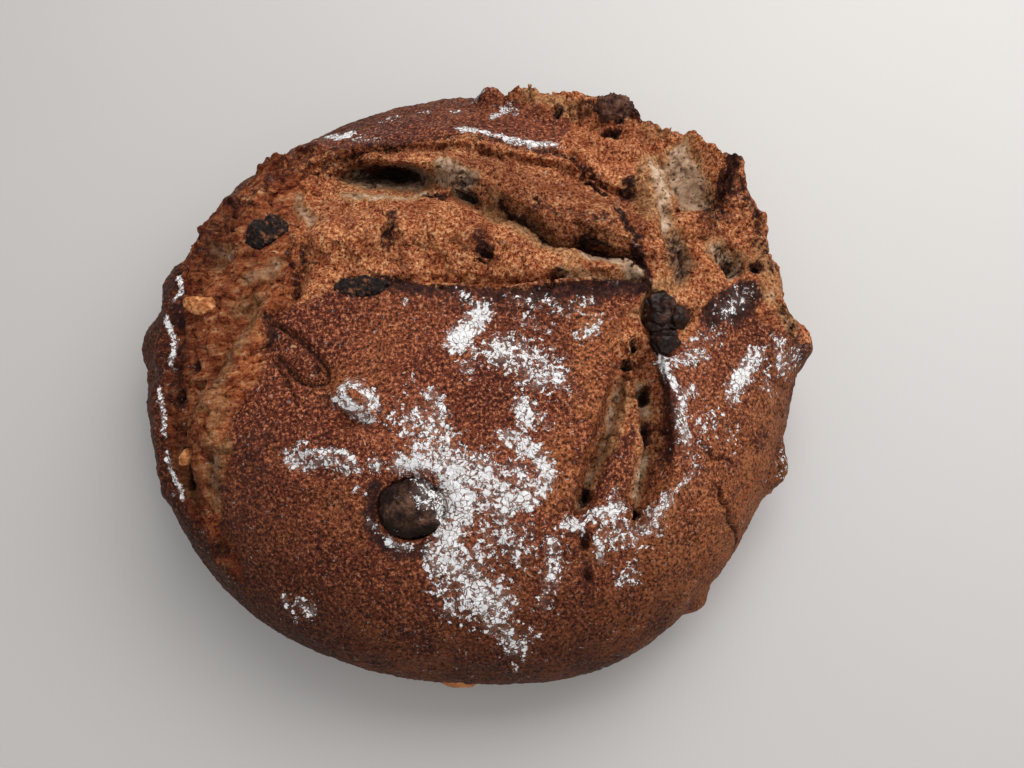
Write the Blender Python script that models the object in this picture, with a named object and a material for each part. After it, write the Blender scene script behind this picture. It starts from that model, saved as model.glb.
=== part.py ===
# A round raisin and nut loaf. The dough was proved seam side down in a floured basket and baked
# seam side up, so it burst along its seams: smooth floured skin is left at the front, at the
# right and at the back, and rough torn crumb stands between them. Raisins and nuts show in it.
import math

import bmesh
import bpy
import numpy as np
from mathutils import Vector, noise

MM = 0.001

# Driving sizes, in millimetres. The front is -Y, the back +Y and the table is at Z 0.
OUTLINE = (112, 113, 119, 115, 116, 116, 118, 119, 117, 115, 113, 109, 107, 110, 108, 107)
SKIN_TOP = 74
WIDEST_HEIGHT = 24
FOOT_SHARE = 0.88
SHOULDER = 2.5
SOCKET_GAP = 0.35
BASE_SINK = 1.0
TABLE_WIDTH, TABLE_DEPTH = 400, 40

# How finely the solids are made.
MOULD_DETAIL = 8
LOAF_TRIANGLES = 9050
COARSE, FINE = 2, 3
WRINKLE_SIZE = 0.62

# How the sphere that the loaf is modelled from is shared out: its polar angle, in degrees, at
# the loaf's widest line and at the edge of the foot.
WIDEST_POLAR = 118
FOOT_POLAR = 136


def spline(points, per_span=8):
    """A smooth curve through points of any length, sampled evenly in each span."""
    p = np.array(points, float)
    p = np.vstack([2 * p[0] - p[1], p, 2 * p[-1] - p[-2]])
    t = np.linspace(0, 1, per_span, endpoint=False)[:, None]
    spans = []
    for a, b, c, d in zip(p, p[1:], p[2:], p[3:]):
        cubic = (3 * b - a - 3 * c + d) * t**3 + (2 * a - 5 * b + 4 * c - d) * t**2
        spans.append(0.5 * (cubic + (c - a) * t + 2 * b))
    return np.vstack(spans + [p[-2:-1]])


def bell(share):
    """1 at the middle, falling smoothly to 0 where share reaches 1."""
    return np.clip(1 - share**2, 0, 1) ** 2


class Fold:
    """A ridge, or a groove where height is negative, along a path in plan.

    Each point of the path is (x, y, swell), and swell scales the fold there. left and right are
    its half widths on the two sides of the path. The fold leans: each point of it moves sideways
    by lean times its own rise, to the left if lean is above 0, so a steep side overhangs.
    """

    def __init__(self, name, height, left, right, path, lean=0.0):
        self.name, self.height, self.lean = name, height, lean
        self.left, self.right = left, right
        self.line = spline(path)

    def shift(self, xy):
        start, step = self.line[:-1, :2], np.diff(self.line[:, :2], axis=0)
        reach = max(self.left, self.right) * 1.3
        low, high = self.line[:, :2].min(0) - reach, self.line[:, :2].max(0) + reach
        moved = np.zeros((len(xy), 3))
        near = np.flatnonzero(np.all((xy > low) & (xy < high), axis=1))
        if not len(near):
            return moved
        offset = xy[near, None, :] - start
        along = np.clip((offset * step).sum(2) / (step**2).sum(1), 0, 1)
        away = offset - along[..., None] * step
        distance = np.hypot(away[..., 0], away[..., 1])
        best = distance.argmin(1)
        rows = np.arange(len(near))
        part = along[rows, best]
        swell = self.line[best, 2] * (1 - part) + self.line[best + 1, 2] * part
        unit = step[best] / np.hypot(*step[best].T)[:, None]
        normal = np.stack([-unit[:, 1], unit[:, 0]], 1)
        side = (away[rows, best] * normal).sum(1)
        width = np.where(side > 0, self.left, self.right) * (0.4 + 0.6 * swell)
        rise = self.height * swell * bell(distance[rows, best] / width)
        moved[near, :2] = normal * (self.lean * rise)[:, None]
        moved[near, 2] = rise
        return moved


class Pit:
    """A hollow, or a bump where depth is negative: an ellipse in plan, turned by turn degrees.

    Its bottom moves sideways by lean, in x and y, times its depth, so a pit can run in under
    what stands beside it.
    """

    def __init__(self, name, x, y, long, wide, depth, turn=0.0, lean=(0.0, 0.0)):
        self.name, self.centre, self.radii = name, np.array([x, y], float), (long, wide)
        self.depth, self.turn, self.lean = depth, math.radians(turn), np.array(lean)

    def shift(self, xy):
        c, s = math.cos(self.turn), math.sin(self.turn)
        local = (xy - self.centre) @ np.array([[c, -s], [s, c]])
        rise = -self.depth * bell(np.hypot(local[:, 0] / self.radii[0], local[:, 1] / self.radii[1]))
        return np.column_stack([-self.lean * rise[:, None], rise])


# The burst, in the order in which it is read in plan, millimetres throughout.
FOLDS = (
    Fold("lip of the back skin", 6, 24, 4.5, lean=-0.6, path=[
        (-82, 44, 0), (-67, 57, 0.7), (-53, 66, 1), (-35, 69, 1), (-18, 71, 1), (-3, 70, 1),
        (14, 65, 0.9), (30, 61, 0.7), (44, 54, 0.5), (56, 46, 0.2)]),
    Fold("rolled sheet of crumb", 12, 17, 12, lean=-0.7, path=[
        (-48, 64, 0.1), (-25, 62, 0.45), (-5, 57, 0.8), (12, 47, 1), (28, 38, 1), (43, 33, 1),
        (54, 24, 0.7), (58, 12, 0.3)]),
    Fold("broad band of crumb", 7, 13, 17, lean=-0.2, path=[
        (-64, 30, 0.3), (-42, 30, 0.8), (-15, 31, 1), (10, 22, 1), (34, 15, 0.8), (52, 13, 0.2)]),
    Fold("streak along the rolled sheet", -2.5, 3.5, 3.5, path=[
        (-22, 66, 0.3), (2, 60, 1), (22, 54, 1), (40, 46, 0.9), (53, 36, 0.4)]),
    Fold("gap behind the ledge", -4, 4.5, 3.5, path=[
        (-40, 11, 0.4), (-10, 10, 0.6), (10, 9, 0.8), (30, 10, 1), (52, 12, 0.8)]),
    Fold("ledge of the front skin", 4.5, 3.5, 16, lean=0.6, path=[
        (-44, 7, 0.4), (-24, 5, 0.5), (-8, 6, 0.5), (8, 5, 0.6), (27, 5, 1), (40, 6, 1),
        (54, 8, 0.5)]),
    Fold("edge of the right skin", 7, 3.5, 14, lean=0.5, path=[
        (62, -9, 0.3), (69, -3, 0.7), (78, 6, 0.9), (91, 15, 1), (96, 6, 0.9), (103, -3, 0.8),
        (110, -8, 0.4)]),
    Fold("left crack", -6, 4.5, 4.5, lean=0.3, path=[
        (47, -12, 0.4), (43, -29, 0.9), (38, -45, 1), (34, -58, 0.9), (29, -67, 0.3)]),
    Fold("right crack", -10, 5, 5, lean=0.5, path=[
        (52, -10, 0.5), (55, -28, 1), (56, -41, 1), (54, -53, 0.8), (50, -67, 0.3)]),
    Fold("lip beside the right crack", 4.5, 9, 3.5, lean=-0.4, path=[
        (59, -8, 0.2), (62, -24, 1), (63, -40, 1), (61, -54, 0.6), (57, -66, 0.2)]),
    Fold("outline of the tongue", -2.4, 3, 3, path=[
        (-66, 3, 0.7), (-56, -5, 1), (-49, -14, 1), (-44, -21, 1), (-48, -27, 1), (-58, -21, 0.8),
        (-64, -12, 0.3)]),
    Fold("crease in the left crumb", -5, 5, 4, path=[
        (-57, 40, 0.3), (-57, 24, 1), (-58, 10, 1), (-66, 0, 0.8)]),
    Fold("pale valley in the left crumb", -5, 8, 6, path=[
        (-66, 14, 0.4), (-75, 4, 1), (-85, -12, 1), (-92, -26, 0.5)]),
    Fold("left torn wall", 5, 6, 14, lean=0.3, path=[
        (-70, -1, 0.3), (-77, -18, 1), (-84, -35, 1), (-88, -50, 1), (-84, -68, 0.8),
        (-74, -82, 0.3)]),
    Fold("torn edge of the side skin", 4.5, 6, 5, lean=-0.3, path=[
        (-76, 64, 0.3), (-91, 46, 0.9), (-102, 22, 1), (-106, 0, 1), (-104, -25, 1),
        (-99, -46, 0.8), (-90, -66, 0.3)]),
    Fold("wrinkle at the front", 2, 3.5, 3.5, path=[
        (-26, -50, 0.3), (-40, -49, 1), (-53, -44, 1), (-57, -51, 0.8), (-45, -57, 0.8),
        (-30, -57, 0.3)]),
    Fold("small crack", -4, 2.6, 2.6, path=[
        (73, -53, 0.6), (78, -58, 1), (83, -64, 0.9), (87, -70, 0.5)]),
    Fold("small upper crack", -2.4, 2.4, 2.4, path=[(70, -40, 0.5), (77, -43, 1), (83, -44, 0.5)]),
    Fold("ragged crest at the back", 13, 11, 12, lean=0.15, path=[
        (4, 97, 0.3), (14, 97, 0.5), (27, 92, 0.7), (45, 90, 0.95), (60, 81, 0.9), (74, 73, 0.9),
        (88, 65, 1), (94, 50, 0.9), (97, 34, 0.7), (101, 18, 0.5), (107, 2, 0.3)]),
    Fold("spur between the hollows", 6, 7, 7, path=[
        (92, 44, 0.6), (82, 42, 1), (72, 38, 1), (62, 36, 0.5)]),
    Fold("twisted end of the rolled sheet", 6, 5, 6, lean=0.2, path=[
        (53, 53, 0.5), (57, 44, 1), (58, 34, 0.7), (62, 22, 0.9), (62, 12, 0.4)]),
    Fold("torn wall beside the back skin", 5, 8, 7, path=[
        (38, 76, 0.4), (48, 70, 1), (58, 66, 1), (63, 56, 0.8), (65, 46, 0.4)]),
)
PITS = (
    Pit("cave under the rolled sheet", -30, 51, 28, 10, 18, turn=-6, lean=(0, 0.8)),
    Pit("small cave", -4, 41, 8, 5, 8, turn=-30, lean=(0.2, 0.8)),
    Pit("gap under the rolled sheet", 38, 22, 15, 5, 6, turn=-10, lean=(0, 0.7)),
    Pit("large back hollow", 75, 56, 13, 14, 11, turn=-30),
    Pit("inner hollow", 67, 24, 9, 8, 7),
    Pit("outer hollow", 85, 27, 8, 9, 9),
    Pit("upper left hollow", -88, 30, 10, 8, 5, turn=60),
    Pit("lower left hollow", -92, -45, 18, 7, 6, turn=-70),
    Pit("knob on the rolled sheet", 55, 50, 6, 5, -4),
    Pit("hole below the raisins", 49, -18, 5, 4, 8),
    Pit("front hole", 33, -70, 3.5, 5.5, 6, turn=8),
    Pit("lower front hole", 34, -80, 3, 5, 5),
    Pit("hollow under the flour", -37, -36, 9, 4, 5, turn=-4),
    Pit("bump under the flour", -37, -28, 9, 6, -3, turn=-10),
    Pit("eye of the tongue", -47, -19, 3, 4, 2.5, turn=20),
    Pit("pore in the broad band", 2, 21, 3, 2.5, 4),
    Pit("bowl round the front nut", -20, -62, 16, 15, 5),
    Pit("ring of flour", 17, -74, 13, 12, -1.5),
    Pit("swelling at the front left", -58, -88, 14, 9, -3, turn=-35),
)

# What stands out of the wall: (angle in plan, height, reach round the wall, up, out).
WALL_BULGES = (
    (175, 27, 15, 14, 5),
    (163, 33, 13, 10, 3),
    (-20, 26, 14, 9, 5),
    (2, 38, 12, 12, 6),
    (-48, 20, 8, 7, 3),
)
# Tips along the torn back rim: (x, y, radius, height).
TIPS = (
    (3, 98, 7, 5), (15, 98, 7, 5), (34, 95, 6, 3), (61, 80, 5, 5), (78, 72, 8, 5),
    (90, 64, 6, 8), (97, 44, 6, 4), (-70, 68, 6, 4), (-60, 73, 6, 4), (-94, 40, 6, 3),
)

# Raisins and nuts that show: (name, x, y, three half axes, turn in plan, share that is sunk).
RAISINS = (
    ("raisin_left", -71, 34, (7.6, 7.2, 6.0), 15, 0.55),
    ("raisin_ledge", -35, 8, (8.5, 4.6, 4.6), -4, 0.75),
    ("raisin_right_large", 57, 0.5, (6.4, 4.4, 4.8), 85, 0.42),
    ("raisin_right_small", 66, -0.5, (4.6, 3.6, 3.8), 75, 0.42),
    ("raisin_right_low", 61, -10, (4.2, 3.8, 3.8), 0, 0.5),
    ("raisin_back", 48, 89, (6.6, 5.8, 5.4), 10, 0.62),
)
NUTS = (
    ("nut_front", -18.5, -61, (11.0, 10.0, 8.5), 0, 0.5),
    ("nut_left", -92, 10, (6.5, 3.2, 2.8), -8, 0.45),
    ("nut_side", -92, -41, (3.6, 2.4, 2.2), 60, 0.4),
)
# The almond lies in the front wall: its angle in plan and height, and its half axes.
ALMOND = ("almond_front", -93, 17, (7.2, 3.0, 2.6))


def outline_radius(angle):
    count = len(OUTLINE)
    closed = np.array(OUTLINE + OUTLINE[:3], float)
    place = (angle / math.tau * count) % count
    whole = np.floor(place).astype(int)
    f = place - whole
    a, b, c, d = (closed[(whole + k) % count] for k in (-1, 0, 1, 2))
    cubic = (3 * b - a - 3 * c + d) * f**3 + (2 * a - 5 * b + 4 * c - d) * f**2
    return 0.5 * (cubic + (c - a) * f + 2 * b)


def loaf_body(directions):
    """Points of the unburst loaf for unit directions, with 1 on its domed top and 0 below it."""
    angle = np.arctan2(directions[:, 1], directions[:, 0])
    polar = np.degrees(np.arccos(np.clip(directions[:, 2], -1, 1)))
    out = np.sin(np.radians(90 * np.clip(polar / WIDEST_POLAR, 0, 1)))
    height = WIDEST_HEIGHT + (SKIN_TOP - WIDEST_HEIGHT) * np.sqrt(1 - out**SHOULDER)
    turn = np.radians(90 * np.clip((polar - WIDEST_POLAR) / (FOOT_POLAR - WIDEST_POLAR), 0, 1))
    below = polar > WIDEST_POLAR
    out = np.where(below, FOOT_SHARE + (1 - FOOT_SHARE) * np.cos(turn), out)
    height = np.where(below, WIDEST_HEIGHT * (1 - np.sin(turn)) - BASE_SINK * np.sin(turn), height)
    foot = polar > FOOT_POLAR
    out = np.where(foot, FOOT_SHARE * (180 - polar) / (180 - FOOT_POLAR), out)
    radius = outline_radius(angle) * out
    points = np.column_stack([radius * np.cos(angle), radius * np.sin(angle), height])
    return points, np.clip((height - WIDEST_HEIGHT) / 14, 0, 1), angle


def torn_share(xy):
    """1 where the skin has burst and crumb shows, 0 on the skin, from where the folds lie."""
    x, y = xy.T
    behind_ledge = np.clip((y - 8 + np.clip(x - 54, 0, 60) * 0.1) / 4, 0, 1)
    before_back_skin = np.clip((70 - y - np.clip(abs(x + 25) - 25, 0, 60) * 0.35) / 4, 0, 1)
    right = np.clip((x - 45) / 8, 0, 1)
    left = np.clip((-64 - x - 0.35 * np.clip(-y, 0, 80)) / 5, 0, 1)
    middle = behind_ledge * np.maximum(before_back_skin, right)
    return np.maximum(middle, left)


def roughness(points, torn, top):
    """Uneven lumps: low and wide on the skin, higher and closer in the crumb."""
    rise = np.zeros(len(points))
    craggy = np.clip((points[:, 0] - 20) / 20, 0, 1) * np.clip((points[:, 1] - 25) / 30, 0, 1)
    for i, point in enumerate(points):
        p = Vector(point)
        rise[i] = 1.6 * noise.noise(p / 31) + 0.4 * noise.noise(p / 13)
        rise[i] += torn[i] * (1.6 * noise.noise(p / 11) + 1.0 * noise.noise(p / 5.5))
        rise[i] += craggy[i] * 2.2 * noise.noise(p / 8)
    return rise * (0.25 + 0.75 * top)


def burst(points, top, angle):
    """Adds the folds, hollows, bulges and tips to points of the body."""
    xy = points[:, :2].copy()
    moved = points.copy()
    for feature in FOLDS + PITS:
        moved += feature.shift(xy) * top[:, None]
    for x, y, radius, height in TIPS:
        moved[:, 2] += top * height * bell(np.hypot(xy[:, 0] - x, xy[:, 1] - y) / radius)
    for at, height, round_reach, up_reach, out in WALL_BULGES:
        turned = (angle - math.radians(at) + math.pi) % math.tau - math.pi
        across = turned * 110 / round_reach
        up = (points[:, 2] - height) / up_reach
        push = out * bell(np.hypot(across, up))
        moved[:, 0] += push * np.cos(angle)
        moved[:, 1] += push * np.sin(angle)
    return moved


def material(name, colour, rough):
    made = bpy.data.materials.new(name)
    made.use_nodes = True
    shader = made.node_tree.nodes["Principled BSDF"]
    shader.inputs["Base Color"].default_value = (*colour, 1)
    shader.inputs["Roughness"].default_value = rough
    shader.inputs["Metallic"].default_value = 0
    return made


def ball(name, detail, home):
    """A unit ball as a mesh object in a collection."""
    mesh = bpy.data.meshes.new(name)
    bm = bmesh.new()
    bmesh.ops.create_icosphere(bm, subdivisions=detail, radius=1)
    bm.to_mesh(mesh)
    bm.free()
    made = bpy.data.objects.new(name, mesh)
    home.objects.link(made)
    return made


def vertices(mesh):
    flat = np.empty(len(mesh.vertices) * 3, np.float32)
    mesh.vertices.foreach_get("co", flat)
    return flat.reshape(-1, 3).astype(float)


def set_vertices(mesh, points):
    mesh.vertices.foreach_set("co", points.astype(np.float32).ravel())
    mesh.update()


def make_loaf(home, crust):
    """The loaf, and the points of its surface before they are thinned out."""
    loaf = ball("loaf", MOULD_DETAIL, home)
    directions = vertices(loaf.data)
    directions /= np.linalg.norm(directions, axis=1)[:, None]
    points, top, angle = loaf_body(directions)
    torn = torn_share(points[:, :2]) * top
    rise = roughness(points, torn, top)
    moved = burst(points, top, angle)
    outward = np.column_stack([directions[:, :2], np.clip(directions[:, 2] + 0.4, 0, 2)])
    moved += outward * (rise * (points[:, 2] > 0))[:, None]
    set_vertices(loaf.data, moved * MM)
    loaf.data.materials.append(crust)
    slim = loaf.modifiers.new("slim", "DECIMATE")
    slim.ratio = LOAF_TRIANGLES / len(loaf.data.polygons)
    return loaf, moved


def surface_height(surface, x, y, reach=2.5):
    """The height of the loaf's top at a point in plan, in millimetres."""
    near = np.hypot(surface[:, 0] - x, surface[:, 1] - y) < reach
    return np.percentile(surface[near, 2], 80)


def wrinkle(points, depth, size):
    """A dried fruit's skin: it sinks along the lines between its cells."""
    shrunk = []
    for point in points:
        near, next_near = noise.voronoi(Vector(point) / size)[0][:2]
        shrunk.append(1 - depth * math.exp(-6 * (next_near - near)))
    return points * np.array(shrunk)[:, None]


def sit(made, place, turn, parent):
    made.location = Vector(place) * MM
    made.rotation_euler[2] = math.radians(turn)
    made.parent = parent


def make_fruit(name, place, axes, turn, depth, skin, home, cutters, table_point):
    """A raisin or nut, and the slightly larger cutter that makes its socket in the loaf."""
    detail = FINE if max(axes) > 6.3 else COARSE
    fruit = ball(name, detail, home)
    shape = wrinkle(vertices(fruit.data), depth, WRINKLE_SIZE)
    set_vertices(fruit.data, shape * np.array(axes) * MM)
    fruit.data.materials.append(skin)
    fruit.data.shade_smooth()
    sit(fruit, place, turn, table_point)
    socket = ball(name + "_socket", detail, cutters)
    share = 1 + SOCKET_GAP / (np.array(axes) * (1 - depth))
    set_vertices(socket.data, shape * np.array(axes) * share * MM)
    socket.hide_render = True
    socket.display_type = "WIRE"
    sit(socket, place, turn, table_point)


def make_table_cutter(cutters, table_point):
    """What is under the table's level, so that the loaf rests on one flat face."""
    bpy.ops.mesh.primitive_cube_add(size=1, location=(0, 0, -TABLE_DEPTH * MM / 2))
    slab = bpy.context.object
    slab.name = "under_the_table"
    slab.scale = (TABLE_WIDTH * MM, TABLE_WIDTH * MM, TABLE_DEPTH * MM)
    slab.hide_render = True
    slab.display_type = "WIRE"
    for collection in list(slab.users_collection):
        collection.objects.unlink(slab)
    cutters.objects.link(slab)
    slab.parent = table_point


def build():
    for old in list(bpy.data.objects):
        bpy.data.objects.remove(old)
    home = bpy.data.collections.new("raisin_and_nut_bread")
    cutters = bpy.data.collections.new("cutters")
    bpy.context.scene.collection.children.link(home)
    bpy.context.scene.collection.children.link(cutters)
    crust = material("crust", (0.19, 0.066, 0.026), 0.75)
    dark_skin = material("raisin_skin", (0.012, 0.007, 0.008), 0.35)
    nut_skin = material("nut_skin", (0.30, 0.15, 0.06), 0.6)
    nut_flesh = material("nut_flesh", (0.55, 0.24, 0.08), 0.6)

    loaf, surface = make_loaf(home, crust)
    low, high = surface.min(0), surface.max(0)
    table_point = bpy.data.objects.new("table_point", None)
    home.objects.link(table_point)
    table_point.location = (-(low[0] + high[0]) / 2 * MM, -(low[1] + high[1]) / 2 * MM, 0)
    loaf.parent = table_point

    for name, x, y, axes, turn, sunk in RAISINS:
        z = surface_height(surface, x, y) + axes[2] * (1 - 2 * sunk)
        make_fruit(name, (x, y, z), axes, turn, 0.16, dark_skin, home, cutters, table_point)
    for name, x, y, axes, turn, sunk in NUTS:
        z = surface_height(surface, x, y) + axes[2] * (1 - 2 * sunk)
        skin = nut_skin if name == "nut_front" else nut_flesh
        make_fruit(name, (x, y, z), axes, turn, 0.06, skin, home, cutters, table_point)
    name, at, height, axes = ALMOND
    wall = np.abs((np.arctan2(surface[:, 1], surface[:, 0]) - math.radians(at))) < 0.03
    wall &= np.abs(surface[:, 2] - height) < 2
    out = np.hypot(surface[wall, 0], surface[wall, 1]).mean()
    place = (out * math.cos(math.radians(at)), out * math.sin(math.radians(at)), height)
    make_fruit(name, place, axes, at + 90, 0.04, nut_flesh, home, cutters, table_point)

    make_table_cutter(cutters, table_point)
    cut = loaf.modifiers.new("sockets_and_base", "BOOLEAN")
    cut.operation = "DIFFERENCE"
    cut.operand_type = "COLLECTION"
    cut.collection = cutters
    cut.solver = "EXACT"


build()
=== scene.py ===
import math

import bpy
import numpy as np
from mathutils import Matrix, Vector, noise


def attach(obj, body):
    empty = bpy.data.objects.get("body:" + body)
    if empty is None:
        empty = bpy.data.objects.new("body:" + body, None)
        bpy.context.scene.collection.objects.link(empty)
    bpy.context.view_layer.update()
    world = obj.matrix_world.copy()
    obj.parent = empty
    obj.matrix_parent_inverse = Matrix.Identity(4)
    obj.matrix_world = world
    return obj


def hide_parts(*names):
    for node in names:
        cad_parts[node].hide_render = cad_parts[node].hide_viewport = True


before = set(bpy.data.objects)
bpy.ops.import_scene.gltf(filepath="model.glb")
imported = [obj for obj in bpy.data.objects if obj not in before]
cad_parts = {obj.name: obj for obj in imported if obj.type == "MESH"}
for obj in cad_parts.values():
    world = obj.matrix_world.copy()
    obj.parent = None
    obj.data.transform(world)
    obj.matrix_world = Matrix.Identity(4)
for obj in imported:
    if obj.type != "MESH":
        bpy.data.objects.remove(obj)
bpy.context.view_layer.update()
noise.seed_set(5)

# A round raisin and nut loaf that burst along its seams. All the sizes below are millimetres:
# x to the right, y to the back, z up from the table, and shapes are measured from the middle of
# the loaf's dough, which tablePoint moves to the middle of the frame.
tablePoint = np.array([3.14, -4.44, 0.0])


# Small tools for the shapes.

def clearSelection():
    for item in list(bpy.context.selected_objects):
        item.select_set(False)


def readPoints(mesh):
    flat = np.empty(len(mesh.vertices) * 3, np.float32)
    mesh.vertices.foreach_get("co", flat)
    return flat.reshape(-1, 3).astype(float)


def writePoints(mesh, points):
    mesh.vertices.foreach_set("co", points.astype(np.float32).ravel())
    mesh.update()


def readNormals(mesh):
    flat = np.empty(len(mesh.vertices) * 3, np.float32)
    mesh.vertex_normals.foreach_get("vector", flat)
    return flat.reshape(-1, 3).astype(float)


def writeMask(mesh, name, values):
    layer = mesh.attributes.new(name, "FLOAT", "POINT")
    layer.data.foreach_set("value", np.clip(values, 0, 1).astype(np.float32))


def sample(kind, points, size, *settings):
    # a kind of noise at every point, with lumps about size mm wide
    return np.array([kind(Vector(p), *settings) for p in (points / size).tolist()])


def sampleWhere(mask, kind, points, size, *settings):
    # the same, but only where the mask is above 0
    values = np.zeros(len(points))
    chosen = np.flatnonzero(mask > 0.01)
    if len(chosen):
        values[chosen] = sample(kind, points[chosen], size, *settings)
    return values


def cellEdges(point):
    # 0 on the borders between the cells of a pattern, rising inside them
    near = noise.voronoi(point)[0]
    return near[1] - near[0]


def smooth(low, high, values):
    t = np.clip((values - low) / (high - low), 0, 1)
    return t * t * (3 - 2 * t)


def bell(share):
    return np.clip(1 - share**2, 0, 1) ** 2


def curveThrough(points, perSpan=7):
    # a smooth curve through given points
    p = np.array(points, float)
    if len(p) == 1:
        return p
    p = np.vstack([2 * p[0] - p[1], p, 2 * p[-1] - p[-2]])
    t = np.linspace(0, 1, perSpan, endpoint=False)[:, None]
    spans = []
    for a, b, c, d in zip(p, p[1:], p[2:], p[3:]):
        cubic = (3 * b - a - 3 * c + d) * t**3 + (2 * a - 5 * b + 4 * c - d) * t**2
        spans.append(0.5 * (cubic + (c - a) * t + 2 * b))
    return np.vstack(spans + [p[-2:-1]])


def nearestOnCurve(xy, line, reach):
    # for the points within reach: who they are, how far away, on which side, and where along
    low, high = line[:, :2].min(0) - reach, line[:, :2].max(0) + reach
    near = np.flatnonzero(np.all((xy > low) & (xy < high), axis=1))
    if not len(near):
        return near, None, None, None, None
    if len(line) == 1:
        away = xy[near] - line[0, :2]
        zeros = np.zeros(len(near), int)
        return near, np.hypot(*away.T), away, zeros, zeros.astype(float)
    start, step = line[:-1, :2], np.diff(line[:, :2], axis=0)
    best = np.zeros(len(near), int)
    part = np.zeros(len(near))
    distance = np.full(len(near), 1e9)
    away = np.zeros((len(near), 2))
    for i in range(len(step)):
        offset = xy[near] - start[i]
        along = np.clip(offset @ step[i] / (step[i] @ step[i]), 0, 1)
        rest = offset - along[:, None] * step[i]
        far = np.hypot(*rest.T)
        closer = far < distance
        distance[closer], best[closer], part[closer] = far[closer], i, along[closer]
        away[closer] = rest[closer]
    return near, distance, away, best, part


def foldShift(fold, xy):
    # a ridge or groove along its path: how far each point moves, and how much of it is fold
    line = curveThrough(fold["path"])
    left, right, lean = fold["left"], fold["right"], fold.get("lean", 0)
    moved = np.zeros((len(xy), 3))
    near, distance, away, best, part = nearestOnCurve(xy, line, max(left, right) * 1.3)
    if not len(near):
        return moved
    after = np.minimum(best + 1, len(line) - 1)
    swell = line[best, 2] * (1 - part) + line[after, 2] * part
    step = line[after, :2] - line[best, :2]
    normal = np.stack([-step[:, 1], step[:, 0]], 1) / np.hypot(*step.T)[:, None]
    side = (away * normal).sum(1)
    width = np.where(side > 0, left, right) * (0.4 + 0.6 * swell)
    rise = fold["height"] * swell * bell(distance / width)
    moved[near, :2] = normal * (lean * rise)[:, None]
    moved[near, 2] = rise
    return moved


def pitShift(pit, xy):
    # a hollow, or a bump where its depth is below 0, and how much of it is pit
    c, s = math.cos(math.radians(pit.get("turn", 0))), math.sin(math.radians(pit.get("turn", 0)))
    local = (xy - pit["at"]) @ np.array([[c, -s], [s, c]]) / pit["size"]
    share = bell(np.hypot(*local.T))
    rise = -pit["depth"] * share
    lean = np.array(pit.get("lean", (0, 0)))
    return np.column_stack([-lean * rise[:, None], rise]), share


def strokeShare(xy, path, width):
    # 1 on a painted stroke, falling softly to 0 at its edge
    near, distance, away, best, part = nearestOnCurve(xy, curveThrough(path, 4), width * 1.6)
    share = np.zeros(len(xy))
    if len(near):
        share[near] = bell(distance / (width * 1.6)) ** 0.6
    return share


def insideShare(xy, corners, soft):
    # 1 inside a closed outline, 0 outside it, changing over a soft edge
    line = np.array(corners + corners[:1], float)
    distance = np.full(len(xy), 1e9)
    inside = np.zeros(len(xy), bool)
    for a, b in zip(line, line[1:]):
        step = b - a
        offset = xy - a
        along = np.clip(offset @ step / (step @ step), 0, 1)
        distance = np.minimum(distance, np.hypot(*(offset - along[:, None] * step).T))
        crosses = (a[1] > xy[:, 1]) != (b[1] > xy[:, 1])
        rise = step[1] if abs(step[1]) > 1e-9 else 1e-9
        inside ^= crosses & (xy[:, 0] < a[0] + (xy[:, 1] - a[1]) * step[0] / rise)
    return smooth(-soft, soft, np.where(inside, distance, -distance))


# The loaf, with all that burst, tore and sank in it.

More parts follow.
